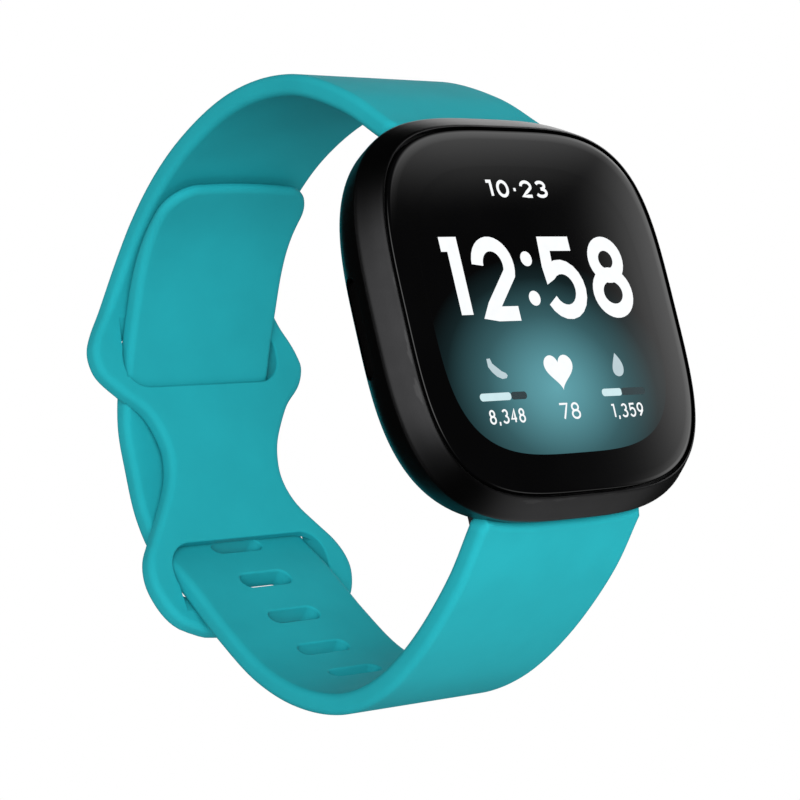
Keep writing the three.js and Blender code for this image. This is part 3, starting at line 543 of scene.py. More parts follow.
def prism(name, outline, near, far, centre=(0.0, 0.0), facing="Y", rounding=0.0):
    """An outline drawn straight from one depth to another, with softened ends."""
    work = new_work()
    steps = [(near, 0.0), (far, 0.0)]
    if rounding:
        arcs = [math.pi / 2 * k / 4 for k in range(5)]
        way = math.copysign(1.0, far - near)
        steps = [(near + way * rounding * (1 - math.sin(a)), rounding * (1 - math.cos(a))) for a in arcs[::-1]]
        steps += [(far - way * rounding * (1 - math.sin(a)), rounding * (1 - math.cos(a))) for a in arcs]
    inward = loop_normals(outline)
    rings = []
    for depth, shrink in steps:
        ring = outline + inward * shrink
        level = np.full(len(ring), depth)
        if facing == "Y":
            columns = [ring[:, 0] + centre[0], -level, ring[:, 1] + centre[1]]
        else:
            columns = [level, ring[:, 1] + centre[0], ring[:, 0] + centre[1]]
        rings.append(np.column_stack(columns))
    closed_skin(work, rings)
    return loose(name, work)


def loop_normals(outline):
    """Unit directions into a closed outline at each of its points."""
    along = np.roll(outline, -1, axis=0) - np.roll(outline, 1, axis=0)
    along /= np.linalg.norm(along, axis=1)[:, None]
    inward = np.column_stack([-along[:, 1], along[:, 0]])
    area = np.sum(outline[:, 0] * np.roll(outline[:, 1], -1) - np.roll(outline[:, 0], -1) * outline[:, 1])
    return inward if area > 0 else -inward


# ---- case


# Depth from the wrist, how far inside the widest line, and squareness of the outline.
CASE_OUTSIDE = [
    (1.60, 5.30, 3.40), (1.72, 4.98, 3.32), (2.10, 4.70, 3.28), (3.10, 3.58, 3.28),
    (4.20, 2.45, 3.28), (5.30, 1.45, 3.28), (6.10, 0.90, 3.28), (7.00, 0.50, 3.28),
    (8.40, 0.16, 3.28), (9.10, 0.03, 3.28), (9.35, 0.00, 3.28), (9.60, 0.08, 3.30),
    (9.95, 0.30, 3.34), (10.80, 0.88, 3.48), (11.45, 1.36, 3.60), (11.66, 1.52, 3.63),
    (11.80, 1.66, 3.64), (11.84, 1.77, 3.64),
]
CASE_INSIDE = [
    (10.62, 1.77, 3.64), (10.62, 3.55, 3.40), (5.20, 3.55, 3.40), (3.10, 6.85, 3.40),
    (1.60, 6.85, 3.40),
]
KEY_DEPTH = 6.6
KEY_INNER = -16.8
KEY_ROOM = 0.3
SOCKET_HALF = 10.0
SOCKET_FACES = (-7.4, -4.6)
SOCKET_FLOOR = 17.5
SCREW_SPREAD = 9.2
SCREW_CORNERS = ((1, 1), (-1, 1), (-1, -1), (1, -1))
SHANK_ROOM = 0.75
GUSSET_SIZE = (6.8, 2.0, 2.8)
GUSSET_PLACE = (14.9, -4.25, 0.0)


class TRACKER_OT_case(bpy.types.Operator):
    """Build the case with its key slot and strap sockets"""

    bl_idname = "tracker.case"
    bl_label = "Case"

    def execute(self, context):
        sizes = context.scene.tracker_case
        half_x, half_z = sizes.width / 2 / MM, sizes.height / 2 / MM
        profile = list(smooth_table(CASE_OUTSIDE, 3)) + CASE_INSIDE + [CASE_OUTSIDE[0]]
        rings = [
            at_depth(squircle(half_x - inset, half_z - inset, squareness, sizes.rounds), depth)
            for depth, inset, squareness in profile
        ]
        work = new_work()
        skin(work, rings)
        shell = loose("case_shell", work, close_seam=True)
        slot = stadium(sizes.key_length / MM + KEY_ROOM, sizes.key_height / MM + KEY_ROOM, 64)
        cutters = [prism("key_slot", slot, -half_x - 2, -half_x + 5, (-KEY_DEPTH, 0.0), "X")]
        for side in (-1, 1):
            ends = sorted((side * SOCKET_FLOOR, side * (half_z + 3)))
            cutters.append(bar_solid("socket", (-SOCKET_HALF, SOCKET_HALF), SOCKET_FACES, ends))
        cut_away(shell, cutters)
        settle(shell, finish_for("case"), "case", ["case_frame"], 28.0)

        work = new_work()
        for side_x, side_z in SCREW_CORNERS:
            made = bmesh.ops.create_cube(work, size=1.0)["verts"]
            bmesh.ops.scale(work, vec=GUSSET_SIZE, verts=made)
            bmesh.ops.translate(work, vec=GUSSET_PLACE, verts=made)
            turn = Matrix.Rotation(-math.atan2(side_z, side_x), 3, "Y")
            bmesh.ops.rotate(work, cent=(0, 0, 0), matrix=turn, verts=made)
        bmesh.ops.bevel(
            work, geom=work.edges[:], offset=0.3, segments=3, profile=0.5, affect="EDGES", material=-1
        )
        gussets = loose("screw_gussets", work)
        holes = []
        for side_x, side_z in SCREW_CORNERS:
            hole = circle(SHANK_ROOM, 24)
            holes.append(prism("pilot", hole, 2.8, 5.6, (side_x * SCREW_SPREAD, side_z * SCREW_SPREAD)))
        cut_away(gussets, holes)
        settle(gussets, finish_for("case"), "case", [])
        return {"FINISHED"}


GLASS_INSET = 2.07
GLASS_SQUARENESS = 3.64
GLASS_REAR = 11.1
CROWN_REACH = 14.0
CROWN_POWER = 2.4
CROWN_RINGS = 22


def glass_outline(sizes, inset):
    """The edge of the glass, or a line inside it."""
    half_x, half_z = (size / 2 / MM - GLASS_INSET - inset for size in (sizes.width, sizes.height))
    return squircle(half_x, half_z, GLASS_SQUARENESS, sizes.rounds)


def crown_depth(x, z, sizes):
    """Depth of the domed face of the glass from the wrist."""
    reach = (np.abs(x) ** GLASS_SQUARENESS + np.abs(z) ** GLASS_SQUARENESS) ** (1.0 / GLASS_SQUARENESS)
    inset = sizes.width / 2 / MM - GLASS_INSET - reach
    share = np.clip(inset / CROWN_REACH, 0.0, 1.0)
    return sizes.depth / MM - sizes.dome / MM * (1.0 - share) ** CROWN_POWER


def on_crown(outline, sizes, rise):
    """An outline laid on the domed face of the glass, or a little over it."""
    depth = crown_depth(outline[:, 0], outline[:, 1], sizes) + rise
    return np.column_stack([outline[:, 0], -depth, outline[:, 1]])


class TRACKER_OT_glass(bpy.types.Operator):
    """Build the domed cover glass"""

    bl_idname = "tracker.glass"
    bl_label = "Cover glass"

    def execute(self, context):
        sizes = context.scene.tracker_case
        edge_depth = (sizes.depth - sizes.dome) / MM
        edge = [(GLASS_REAR, 0.15), (GLASS_REAR + 0.15, 0.0), (edge_depth - 0.20, 0.0)]
        edge += [(edge_depth - 0.10, 0.03), (edge_depth - 0.02, 0.12)]
        rings = [at_depth(glass_outline(sizes, inset), depth) for depth, inset in edge]
        for inset in np.linspace(0.03, 1.0, CROWN_RINGS) * CROWN_REACH:
            rings.append(on_crown(glass_outline(sizes, inset), sizes, 0.0))
        work = new_work()
        closed_skin(work, rings)
        glass = loose("crystal", work)
        settle(glass, finish_for("glass"), "case", ["cover_glass"])
        return {"FINISHED"}


class TRACKER_OT_key(bpy.types.Operator):
    """Build the side key with its flange and stem"""

    bl_idname = "tracker.key"
    bl_label = "Side key"

    def execute(self, context):
        sizes = context.scene.tracker_case
        low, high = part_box("side_key")
        long_by, high_by = sizes.key_length / MM, sizes.key_height / MM
        face, inner = low[0] / MM, KEY_INNER
        cap = prism("key", stadium(long_by, high_by, 64), face, inner - 0.3, (-KEY_DEPTH, 0.0), "X", 0.28)
        flange_shape = stadium(long_by + 1.0, high_by + 1.0, 64)
        flange = prism("flange", flange_shape, inner - 0.55, inner, (-KEY_DEPTH, 0.0), "X", 0.1)
        stem_shape = rounded_box(0.8, 0.8, 0.2)
        stem = prism("stem", stem_shape, inner - 0.1, high[0] / MM, (-KEY_DEPTH, 0.0), "X", 0.1)
        cut_away(cap, [flange, stem], "UNION")
        cap.name = "side_key_cap"
        settle(cap, finish_for("case"), "key", ["side_key"], 30.0)
        return {"FINISHED"}


# ---- face


SCREEN_SQUARENESS = 3.5
DISPLAY_HALF = (15.15, 14.55)
LIT_HALF = (15.0, 14.4)
LIT_CENTRE = (-0.35, -0.05)
LIT_POINTS = 144
DIGITS_TOP = 7.1
# Each digit of the time, and where its left and right sides lie.
DIGITS = (("1", -13.1, -9.9), ("2", -8.9, -3.4), ("5", 0.0, 5.7), ("8", 6.7, 12.3))
COLON = ((-1.55, 4.86), (-1.64, 0.89))
# Small figures: left, right, low, high and stroke.
SMALL_FIGURES = (
    ("10-23", -4.6, 3.7, 11.1, 12.9, 0.32),
    ("8,348", -11.1, -6.5, -11.2, -9.8, 0.18),
    ("78", -1.8, 0.95, -11.2, -9.55, 0.20),
    ("1,359", 5.3, 9.8, -11.35, -9.95, 0.18),
)
BAR_HIGH = 0.76
# Length and centre of each bar.
FILLED_BARS = ((4.0, (-9.75, -8.58)), (2.8, (5.9, -8.78)))
TRACK_BARS = ((2.1, (-6.75, -8.58)), (3.5, (8.95, -8.78)))
MARK_SUNK = 0.04
MARK_RISE = 0.025
LIT_RISE = 0.006


def bow(cx, cz, rx, rz, start, end, steps=18):
    """Points of an arc between two angles in degrees."""
    turn = np.radians(np.linspace(start, end, steps))
    return [(cx + rx * math.cos(a), cz + rz * math.sin(a)) for a in turn]


# Strokes of each figure in a box one wide and one high.
FIGURES = {
    "0": [bow(0.5, 0.5, 0.5, 0.5, 90, 450, 36)],
    "1": [[(0.0, 1.0), (0.85, 1.0), (0.85, 0.0)]],
    "2": [bow(0.5, 0.69, 0.5, 0.31, 178, -22) + [(0.06, 0.0), (1.0, 0.0)]],
    "3": [bow(0.46, 0.76, 0.44, 0.24, 155, -90), bow(0.46, 0.26, 0.52, 0.26, 90, -155)],
    "4": [[(0.72, 0.0), (0.72, 1.0), (0.0, 0.28), (1.0, 0.28)]],
    "5": [[(0.96, 1.0), (0.12, 1.0), (0.07, 0.54)] + bow(0.48, 0.33, 0.52, 0.33, 136, -152)],
    "7": [[(0.0, 1.0), (1.0, 1.0), (0.38, 0.0)]],
    "8": [bow(0.5, 0.76, 0.42, 0.24, 90, 450, 32), bow(0.5, 0.27, 0.5, 0.27, 90, 450, 32)],
    "9": [bow(0.5, 0.68, 0.5, 0.32, 0, 360, 32), [(1.0, 0.68), (0.92, 0.42), (0.30, 0.0)]],
    "-": [[(0.1, 0.45), (0.9, 0.45)]],
    ",": [[(0.5, 0.10), (0.3, -0.18)]],
}
# Widths and gap as shares of a plain figure's width.
NARROW_SIGNS = {",": 0.42, "-": 0.42, "1": 0.6}
FIGURE_GAP = 0.28


def ribbon(work, points, half):
    """A flat band of even width along a line, drawn by extruding its end edge."""
    line = np.array(points, dtype=float)
    counts = np.maximum(np.ceil(np.linalg.norm(np.diff(line, axis=0), axis=1)), 1).astype(int)
    shares = [i + k / count for i, count in enumerate(counts) for k in range(count)] + [len(counts)]
    line = np.column_stack([np.interp(shares, np.arange(len(line)), line[:, axis]) for axis in (0, 1)])
    steps = np.diff(line, axis=0)
    steps /= np.linalg.norm(steps, axis=1)[:, None]
    closed = np.allclose(line[0], line[-1], atol=1e-6)
    before = np.vstack([steps[-1] if closed else steps[0], steps])
    after = np.vstack([steps, steps[0] if closed else steps[-1]])
    bisector = before + after
    bisector /= np.linalg.norm(bisector, axis=1)[:, None]
    stretch = np.minimum(1.0 / np.maximum(np.sum(bisector * after, axis=1), 0.2), 1.45)
    sideways = np.column_stack([-bisector[:, 1], bisector[:, 0]]) * (half * stretch)[:, None]
    left, right = line + sideways, line - sideways
    pair = [work.verts.new((p[0], 0.0, p[1])) for p in (left[0], right[0])]
    edge = work.edges.new(pair)
    for a, b in zip(left[1:], right[1:]):
        grown = bmesh.ops.extrude_edge_only(work, edges=[edge])["geom"]
        fresh = {item for item in grown if isinstance(item, bmesh.types.BMVert)}
        pair = [next(e.other_vert(old) for e in old.link_edges if e.other_vert(old) in fresh) for old in pair]
        for vert, target in zip(pair, (a, b)):
            vert.co = (target[0], 0.0, target[1])
        edge = work.edges.get(pair)
    if closed:
        bmesh.ops.remove_doubles(work, verts=work.verts, dist=0.0005)


def figure(work, sign, left, right, low, high, stroke):
    """One figure in a box on the screen; the box is the outside of its strokes."""
    half = stroke / 2
    for path in FIGURES[sign]:
        wide, tall = right - left - stroke, high - low - stroke
        placed = [(left + half + x * wide, low + half + z * tall) for x, z in path]
        ribbon(work, placed, half)


def figures_in_line(work, text, left, right, low, high, stroke):
    """Figures side by side; marks such as commas take less room."""
    widths = [NARROW_SIGNS.get(sign, 1.0) for sign in text]
    unit = (right - left) / (sum(widths) + FIGURE_GAP * (len(text) - 1))
    x = left
    for sign, width in zip(text, widths):
        figure(work, sign, x, x + unit * width, low, high, stroke)
        x += unit * (width + FIGURE_GAP)


def filled(work, outline, centre):
    """A flat filled shape on the screen."""
    edges = skin(work, [at_depth(outline + centre, 0.0)])[0]
    bmesh.ops.edgeloop_fill(work, edges=edges)


def heart_outline(width, height, count=56):
    turn = np.linspace(0, 2 * math.pi, count, endpoint=False)
    x = np.sin(turn) ** 3
    z = (13 * np.cos(turn) - 5 * np.cos(2 * turn) - 2 * np.cos(3 * turn) - np.cos(4 * turn)) / 16
    z = (z - z.min()) / (z.max() - z.min()) - 0.5
    return np.column_stack([x * width / 2, z * height])


def flame_outline(width, height, count=40):
    turn = np.linspace(0, 2 * math.pi, count, endpoint=False)
    rise = (1 - np.cos(turn)) / 2
    x = np.sin(turn) * (1 - rise) ** 0.55 * 1.15 + 0.22 * rise * np.sin(rise * math.pi)
    return np.column_stack([x * width / 2, (rise - 0.5) * height])


SHOE = np.array(
    [
        (-1.00, 0.95), (-0.62, 0.98), (-0.48, 0.52), (-0.24, 0.30), (0.06, 0.06),
        (0.42, -0.24), (0.88, -0.44), (1.02, -0.66), (0.86, -0.90), (0.36, -0.96),
        (-0.20, -0.72), (-0.66, -0.30), (-1.00, 0.20),
    ]
)


def plate(name, work, finish, sizes):
    """Gives flat marks their thickness, lays them on the glass and makes them a piece of the screen."""
    bmesh.ops.recalc_face_normals(work, faces=work.faces)
    for face in work.faces:
        if face.normal.y > 0:
            face.normal_flip()
    grown = bmesh.ops.extrude_face_region(work, geom=work.faces[:], use_keep_orig=True)["geom"]
    raised = [item for item in grown if isinstance(item, bmesh.types.BMVert)]
    bmesh.ops.translate(work, vec=(0.0, -MARK_SUNK - MARK_RISE, 0.0), verts=raised)
    for vert in work.verts:
        vert.co.y += MARK_SUNK - float(crown_depth(vert.co.x, vert.co.z, sizes))
    settle(loose(name, work), finish, "case", [])


class TRACKER_OT_screen(bpy.types.Operator):
    """Build the display and the time, pictures and bars on it"""

    bl_idname = "tracker.screen"
    bl_label = "Screen and marks"

    def execute(self, context):
        sizes = context.scene.tracker_case
        outline = squircle(*DISPLAY_HALF, SCREEN_SQUARENESS, LIT_POINTS)
        near, far = -SCREEN_HIGH[1] / MM, -SCREEN_LOW[1] / MM
        display = prism("display_screen", outline, near, far, rounding=0.12)
        settle(display, finish_for("glass"), "case", ["display_panel"])

        lit = squircle(*LIT_HALF, SCREEN_SQUARENESS, LIT_POINTS)
        rings = [on_crown(lit + LIT_CENTRE, sizes, -MARK_SUNK)]
        for share in np.linspace(1.0, 0.08, 16):
            rings.append(on_crown(lit * share + LIT_CENTRE, sizes, LIT_RISE))
        work = new_work()
        closed_skin(work, rings)
        lit_area = loose("lit_area", work)
        settle(lit_area, finish_for("screen"), "case", [])

        low = DIGITS_TOP - sizes.digit_height / MM
        work = new_work()
        for sign, left, right in DIGITS:
            figure(work, sign, left, right, low, DIGITS_TOP, sizes.digit_stroke / MM)
        for centre in COLON:
            filled(work, circle(0.75, 28), centre)
        for line in SMALL_FIGURES:
            figures_in_line(work, *line)
        filled(work, heart_outline(3.85, 3.45), (-0.62, -6.55))
        plate("screen_figures", work, finish_for("marks"), sizes)

        work = new_work()
        filled(work, SHOE * (1.1, 1.05), (-8.75, -5.9))
        filled(work, flame_outline(1.75, 2.35), (7.5, -6.05))
        plate("screen_pictures", work, finish_for("dim_marks"), sizes)

        for name, bars, finish in (
            ("screen_bars", FILLED_BARS, "bars"),
            ("screen_bar_tracks", TRACK_BARS, "track"),
        ):
            work = new_work()
            for long_by, centre in bars:
                filled(work, stadium(long_by, BAR_HIGH, 20), centre)
            plate(name, work, finish_for(finish), sizes)
        return {"FINISHED"}


# ---- wrist side


# Depth from the wrist, how far inside the widest line, and squareness of the outline.
COVER_RIM = [
    (2.00, 8.85, 3.40), (3.00, 8.85, 3.40), (3.00, 7.75, 3.40), (1.50, 7.75, 3.40), (1.50, 5.44, 3.40),
]
COVER_SLOPE = [
    (1.44, 5.40, 3.40), (1.30, 5.50, 3.40), (1.05, 6.40, 3.36), (0.57, 8.05, 3.28), (0.47, 9.05, 3.28),
]
COVER_FLAT = (0.45, 9.6, 3.28)
WINDOW_RADIUS = 8.0
CONTACT_SPREAD = 2.2
CONTACT_LEVEL = -9.9


class TRACKER_OT_cover(bpy.types.Operator):
    """Build the back cover and its sensor window"""

    bl_idname = "tracker.cover"
    bl_label = "Back cover"

    def execute(self, context):
        sizes = context.scene.tracker_case
        half = sizes.width / 2 / MM
        rings = [
            at_depth(squircle(half - inset, half - inset, squareness, sizes.rounds), depth)
            for depth, inset, squareness in COVER_RIM + list(smooth_table(COVER_SLOPE, 5)) + [COVER_FLAT]
        ]
        work = new_work()
        closed_skin(work, rings)
        cover = loose("wrist_cover", work)
        cutters = [
            prism("window_seat", circle(WINDOW_RADIUS + 0.1, 96), -1.0, 1.0),
            prism("aperture", circle(6.4, 72), -1.0, 4.0),
        ]
        for side_x, side_z in SCREW_CORNERS:
            centre = (side_x * SCREW_SPREAD, side_z * SCREW_SPREAD)
            cutters.append(prism("head_room", circle(1.25, 36), -1.0, 1.85, centre))
            cutters.append(prism("shank_room", circle(SHANK_ROOM, 24), -1.0, 4.0, centre))
        for side in (-1, 1):
            centre = (side * CONTACT_SPREAD, CONTACT_LEVEL)
            cutters.append(prism("contact_room", circle(1.0, 32), -1.0, 4.0, centre))
        cut_away(cover, cutters, join=0.000001)
        settle(cover, finish_for("polymer"), "case", ["back_cover"], 30.0)

        work = new_work()
        edge = 0.3
        inner = WINDOW_RADIUS - edge
        profile = [(6.5, 0.9), (WINDOW_RADIUS - 0.05, 0.9), (WINDOW_RADIUS, 0.85), (WINDOW_RADIUS, edge)]
        turn = np.linspace(0.2, math.pi / 2, 7)
        profile += [(inner + edge * math.cos(a), edge - edge * math.sin(a)) for a in turn]
        profile += [(6.5, 0.0), (4.0, 0.0)]
        rings = [at_depth(circle(radius, 128), depth) for radius, depth in profile]
        closed_skin(work, rings)
        window = loose("wrist_window", work)
        settle(window, finish_for("sensor_glass"), "case", ["sensor_window"])
        return {"FINISHED"}


# ---- strap


# Y and Z of the outer face of each half, from the case to its far end.
UPPER_FACE = [
    (-7.6, 20.5), (-2.5, 25.5), (5.3, 30.3), (15.0, 32.2), (25.2, 30.7),
    (33.6, 26.9), (39.5, 22.2), (42.5, 17.4), (43.5, 11.0), (43.2, 3.0),
    (43.0, -6.0), (42.3, -13.0), (41.0, -20.6),
]
LOWER_FACE = [
    (-7.6, -20.5), (-2.75, -24.8), (5.1, -29.6), (12.2, -32.2), (19.0, -32.6),
    (25.6, -30.6), (31.3, -26.8), (36.0, -21.4), (40.1, -15.7), (44.2, -10.6),
    (45.9, -5.6), (46.1, 0.0), (45.8, 4.7), (43.9, 9.8), (40.9, 15.0),
    (37.3, 20.2), (34.0, 23.3), (27.6, 26.9),
]
# Height of the strap's edge, and half widths there to the left and to the right.
EAR_WIDTHS = [
    (26.0, 10.00, 10.00), (23.0, 10.15, 10.20), (20.0, 10.75, 10.65),
    (17.2, 11.75, 11.45), (14.7, 13.10, 12.60), (12.9, 13.85, 13.70),
    (11.2, 13.85, 14.50), (9.4, 13.10, 14.80), (7.2, 10.90, 13.70),
    (4.9, 8.30, 11.20), (1.4, 7.00, 8.90), (-1.4, 7.20, 8.10),
    (-3.8, 8.20, 8.20), (-6.4, 9.80, 9.30), (-8.9, 11.50, 11.40),
    (-11.0, 12.85, 13.20), (-13.1, 13.35, 14.20), (-15.1, 13.15, 14.30),
    (-17.3, 12.30, 13.40), (-18.9, 10.90, 11.80), (-20.0, 8.60, 9.30),
]
UPPER_SLOT = (8.0, 14.6)
LOWER_SLOT = (-16.4, -9.9)
# From and to height, and the share of the lower half past which it is looked for.
PASSAGES = ((-19.0, -4.0, 0.35), (3.0, 19.0, 0.5))
PASSAGE_ROOM = 0.25
STRAP_STEP = 0.9
ROOT_REACH = 0.35
ROOT_CORNER = 0.6
SIDE_START = 0.2 - ROOT_REACH
CASE_SQUARENESS = 3.28
TANGENT_REACH = 0.6


def centripetal(points, steps=40):
    """Dense points of a smooth line through the given ones."""
    given = np.array(points, dtype=float)
    padded = np.vstack([2 * given[0] - given[1], given, 2 * given[-1] - given[-2]])
    line = []
    for i in range(1, len(padded) - 2):
        p0, p1, p2, p3 = padded[i - 1 : i + 3]
        k1 = np.linalg.norm(p1 - p0) ** 0.5
        k2 = np.linalg.norm(p2 - p1) ** 0.5
        k3 = np.linalg.norm(p3 - p2) ** 0.5
        m1 = k2 * ((p1 - p0) / k1 - (p2 - p0) / (k1 + k2) + (p2 - p1) / k2)
        m2 = k2 * ((p2 - p1) / k2 - (p3 - p1) / (k2 + k3) + (p3 - p2) / k3)
        for t in np.arange(steps) / steps:
            line.append(
                (2 * t**3 - 3 * t**2 + 1) * p1
                + (t**3 - 2 * t**2 + t) * m1
                + (3 * t**2 - 2 * t**3) * p2
                + (t**3 - t**2) * m2
            )
    line.append(given[-1])
    return np.array(line)


class StrapPath:
    """The line that a strap half follows, with lengths measured from the case."""

    def __init__(self, face, inward_side):
        self.points = centripetal(face)
        steps = np.linalg.norm(np.diff(self.points, axis=0), axis=1)
        self.lengths = np.concatenate([[0.0], np.cumsum(steps)])
        self.total = self.lengths[-1]
        self.side = inward_side

    def point(self, along):
        inside = np.clip(along, 0.0, self.total)
        y = np.interp(inside, self.lengths, self.points[:, 0])
        z = np.interp(inside, self.lengths, self.points[:, 1])
        return np.array([y, z])

    def tangent(self, along):
        middle = min(max(along, TANGENT_REACH), self.total - TANGENT_REACH)
        step = self.point(middle + TANGENT_REACH) - self.point(middle - TANGENT_REACH)
        return step / np.linalg.norm(step)

    def bent(self, x, along, depth):
        """Where a point of the flat strap comes to lie once the strap is bent."""
        tangent = self.tangent(along)
        inward = np.array([tangent[1], -tangent[0]]) * self.side
        past = along - min(max(along, 0.0), self.total)
        y, z = self.point(along) + tangent * past + inward * depth
        return x, y, z

    def along_at_height(self, z, start):
        """Length at which the line passes a height, past a start length."""
        after = self.lengths > start
        heights = self.points[after][:, 1]
        order = np.argsort(heights)
        return float(np.interp(z, heights[order], self.lengths[after][order]))


def rounded_profile(edge, thickness, steps=6):
    """How far in and how deep each ring of a strap's rim lies, from its outer face to its inner one."""
    arc = [math.pi / 2 * k / steps for k in range(steps + 1)]
    top = [(edge * (1 - math.sin(a)), edge * (1 - math.cos(a))) for a in arc]
    bottom = [(shrink, thickness - depth) for shrink, depth in reversed(top)]
    return [(edge * 1.25, 0.0)] + top + bottom + [(edge * 1.25, thickness)]


def flat_strap(outlines, edges_round, thickness, length_range):
    """A flat strap with rounded rims round its outside and its openings, cut into narrow strips across."""
    work = new_work()
    tops, bottoms = [], []
    for k, outline in enumerate(outlines):
        inward = loop_normals(outline) * (1 if k == 0 else -1)
        rings = []
        for shrink, depth in rounded_profile(edges_round[min(k, 1)], thickness):
            ring = outline + inward * shrink
            rings.append(np.column_stack([ring, np.full(len(ring), depth)]))
        first, last = skin(work, rings)
        tops += first
        bottoms += last
    for edges in (tops, bottoms):
        bmesh.ops.triangle_fill(
            work, use_beauty=False, use_dissolve=False, edges=edges, normal=(0.0, 0.0, 1.0)
        )
    for along in np.arange(length_range[0] + STRAP_STEP / 2, length_range[1], STRAP_STEP):
        bmesh.ops.bisect_plane(
            work,
            geom=work.verts[:] + work.edges[:] + work.faces[:],
            dist=0.00002,
            plane_co=(0.0, along, 0.0),
            plane_no=(0.0, 1.0, 0.0),
        )
    return work


def ease(share):
    share = min(max(share, 0.0), 1.0)
    return share * share * (3.0 - 2.0 * share)


def root_line(root, case):
    """Points of the end that a strap turns to the case, which falls back from its middle."""
    half = case.height / 2 / MM
    points = []
    for x in np.linspace(-root + ROOT_CORNER, root - ROOT_CORNER, 25):
        fall = half * (1.0 - (1.0 - (abs(x) / half) ** CASE_SQUARENESS) ** (1.0 / CASE_SQUARENESS))
        points.append((x, -ROOT_REACH - fall))
    return points


def side_points(start, end, step, half_width, sign):
    """Points along one side of a strap."""
    count = max(int(abs(end - start) / step), 2)
    return [(sign * half_width(along), along) for along in np.linspace(start, end, count)]


def bend(work, path, thickness, taper):
    """Lays the flat strap on its line, thinner towards its tip by a taper."""
    for vert in work.verts:
        x, along, depth = vert.co
        lost = taper * ease((along / path.total - 0.85) / 0.15)
        if depth > thickness / 2:
            depth -= lost
        vert.co = path.bent(x, along, depth)


def latch_room(side):
    """The recess that a strap leaves for its latch."""
    ends = sorted((side * 17.6, side * 21.4))
    return bar_solid("latch_room", (-3.3, 3.3), (-6.4, -0.6), ends)


def passages(sizes):
    """The room that the lower strap takes up where it goes through the upper one."""
    path = StrapPath(LOWER_FACE, -1)
    half, gap = sizes.width / 2 / MM + PASSAGE_ROOM, sizes.slot_gap / MM
    far = sizes.thickness / MM + gap
    corners = ((half, -gap), (half, far), (-half, far), (-half, -gap))
    rooms = []
    for start, end, share in PASSAGES:
        first, last = (path.along_at_height(z, path.total * share) for z in (start, end))
        rings = []
        for along in np.arange(first, last, 0.5):
            rings.append([path.bent(x, along, depth) for x, depth in corners])
        work = new_work()
        closed_skin(work, rings)
        rooms.append(loose("passage", work))
    return rooms


class TRACKER_OT_upper_strap(bpy.types.Operator):
    """Build the upper strap half with its two slots"""

    bl_idname = "tracker.upper_strap"
    bl_label = "Upper strap"

    def execute(self, context):
        sizes, case = context.scene.tracker_strap, context.scene.tracker_case
        path = StrapPath(UPPER_FACE, 1)
        thickness = sizes.thickness / MM
        edges_round = (sizes.edge / MM, sizes.opening_edge / MM)
        root, plain = sizes.root_width / 2 / MM, sizes.width / 2 / MM
        table = smooth_table(EAR_WIDTHS, 10)[::-1]
        halfway = path.total * 0.5

        def half_width(column):
            def width(along):
                here = path.point(along)
                taper = root + (plain - root) * ease(along / (path.total * 0.4))
                if along < halfway or here[1] > EAR_WIDTHS[0][0]:
                    return taper
                return float(np.interp(here[1], table[:, 0], table[:, column]))

            return width

        last = path.along_at_height(EAR_WIDTHS[-1][0], halfway)
        right = side_points(SIDE_START, last, 0.5, half_width(2), 1)
        left = side_points(last, SIDE_START, 0.5, half_width(1), -1)
        rim = path.total - last
        rim_line = []
        for x in np.linspace(right[-1][0], left[0][0], 22)[1:-1]:
            edge_share = abs(x) / (right[-1][0] if x > 0 else -left[0][0])
            rim_line.append((x, last + rim * (1.0 - edge_share**2.2) ** 0.5))
        outlines = [np.array(root_line(root, case) + right + rim_line + left)]
        for low, high in (UPPER_SLOT, LOWER_SLOT):
            near, far = (path.along_at_height(z, halfway) for z in (high, low))
            hole = rounded_box(sizes.slot_width / 2 / MM, (far - near) / 2, sizes.slot_corner / MM, 64)
            outlines.append(hole + (sizes.slot_shift / MM, (near + far) / 2))
        work = flat_strap(outlines, edges_round, thickness, (-1.0, path.total))
        bend(work, path, thickness, 0.0)
        strap = loose("upper_strap", work)
        cut_away(strap, [latch_room(1)] + passages(sizes))
        settle(strap, finish_for("silicone"), "case", ["strap_upper"], 50.0)
        return {"FINISHED"}


class TRACKER_OT_lower_strap(bpy.types.Operator):
    """Build the lower strap half with its adjusting holes"""

    bl_idname = "tracker.lower_strap"
    bl_label = "Lower strap"

    def execute(self, context):
        sizes, case = context.scene.tracker_strap, context.scene.tracker_case
        path = StrapPath(LOWER_FACE, -1)
        thickness = sizes.thickness / MM
        edges_round = (sizes.edge / MM, sizes.opening_edge / MM)
        root, plain = sizes.root_width / 2 / MM, sizes.width / 2 / MM
        corner = sizes.tip_corner / MM

        def half_width(along):
            return root + (plain - root) * ease(along / (path.total * 0.3))

        straight = path.total - corner
        right = side_points(SIDE_START, straight, 0.8, half_width, 1)
        left = side_points(straight, SIDE_START, 0.8, half_width, -1)
        turn = np.linspace(0.0, math.pi / 2, 12)
        inner = plain - corner
        tip = [(inner + corner * math.cos(a), straight + corner * math.sin(a)) for a in turn]
        tip += [(x, path.total + 0.25 * (1 - (x / inner) ** 2)) for x in np.linspace(inner, -inner, 14)[1:-1]]
        tip += [(-x, s) for x, s in tip[:12][::-1]]
        outlines = [np.array(root_line(root, case) + right + tip[1:-1] + left)]
        for i in range(sizes.holes):
            hole = stadium(sizes.hole_length / MM, sizes.hole_height / MM, 44)
            outlines.append(hole + (0.0, sizes.hole_first / MM + i * sizes.hole_pitch / MM))
        work = flat_strap(outlines, edges_round, thickness, (-1.0, path.total))
        bend(work, path, thickness, sizes.tip_taper / MM)
        strap = loose("lower_strap", work)
        cut_away(strap, [latch_room(-1)])
        settle(strap, finish_for("silicone"), "case", ["strap_lower"], 50.0)
        return {"FINISHED"}


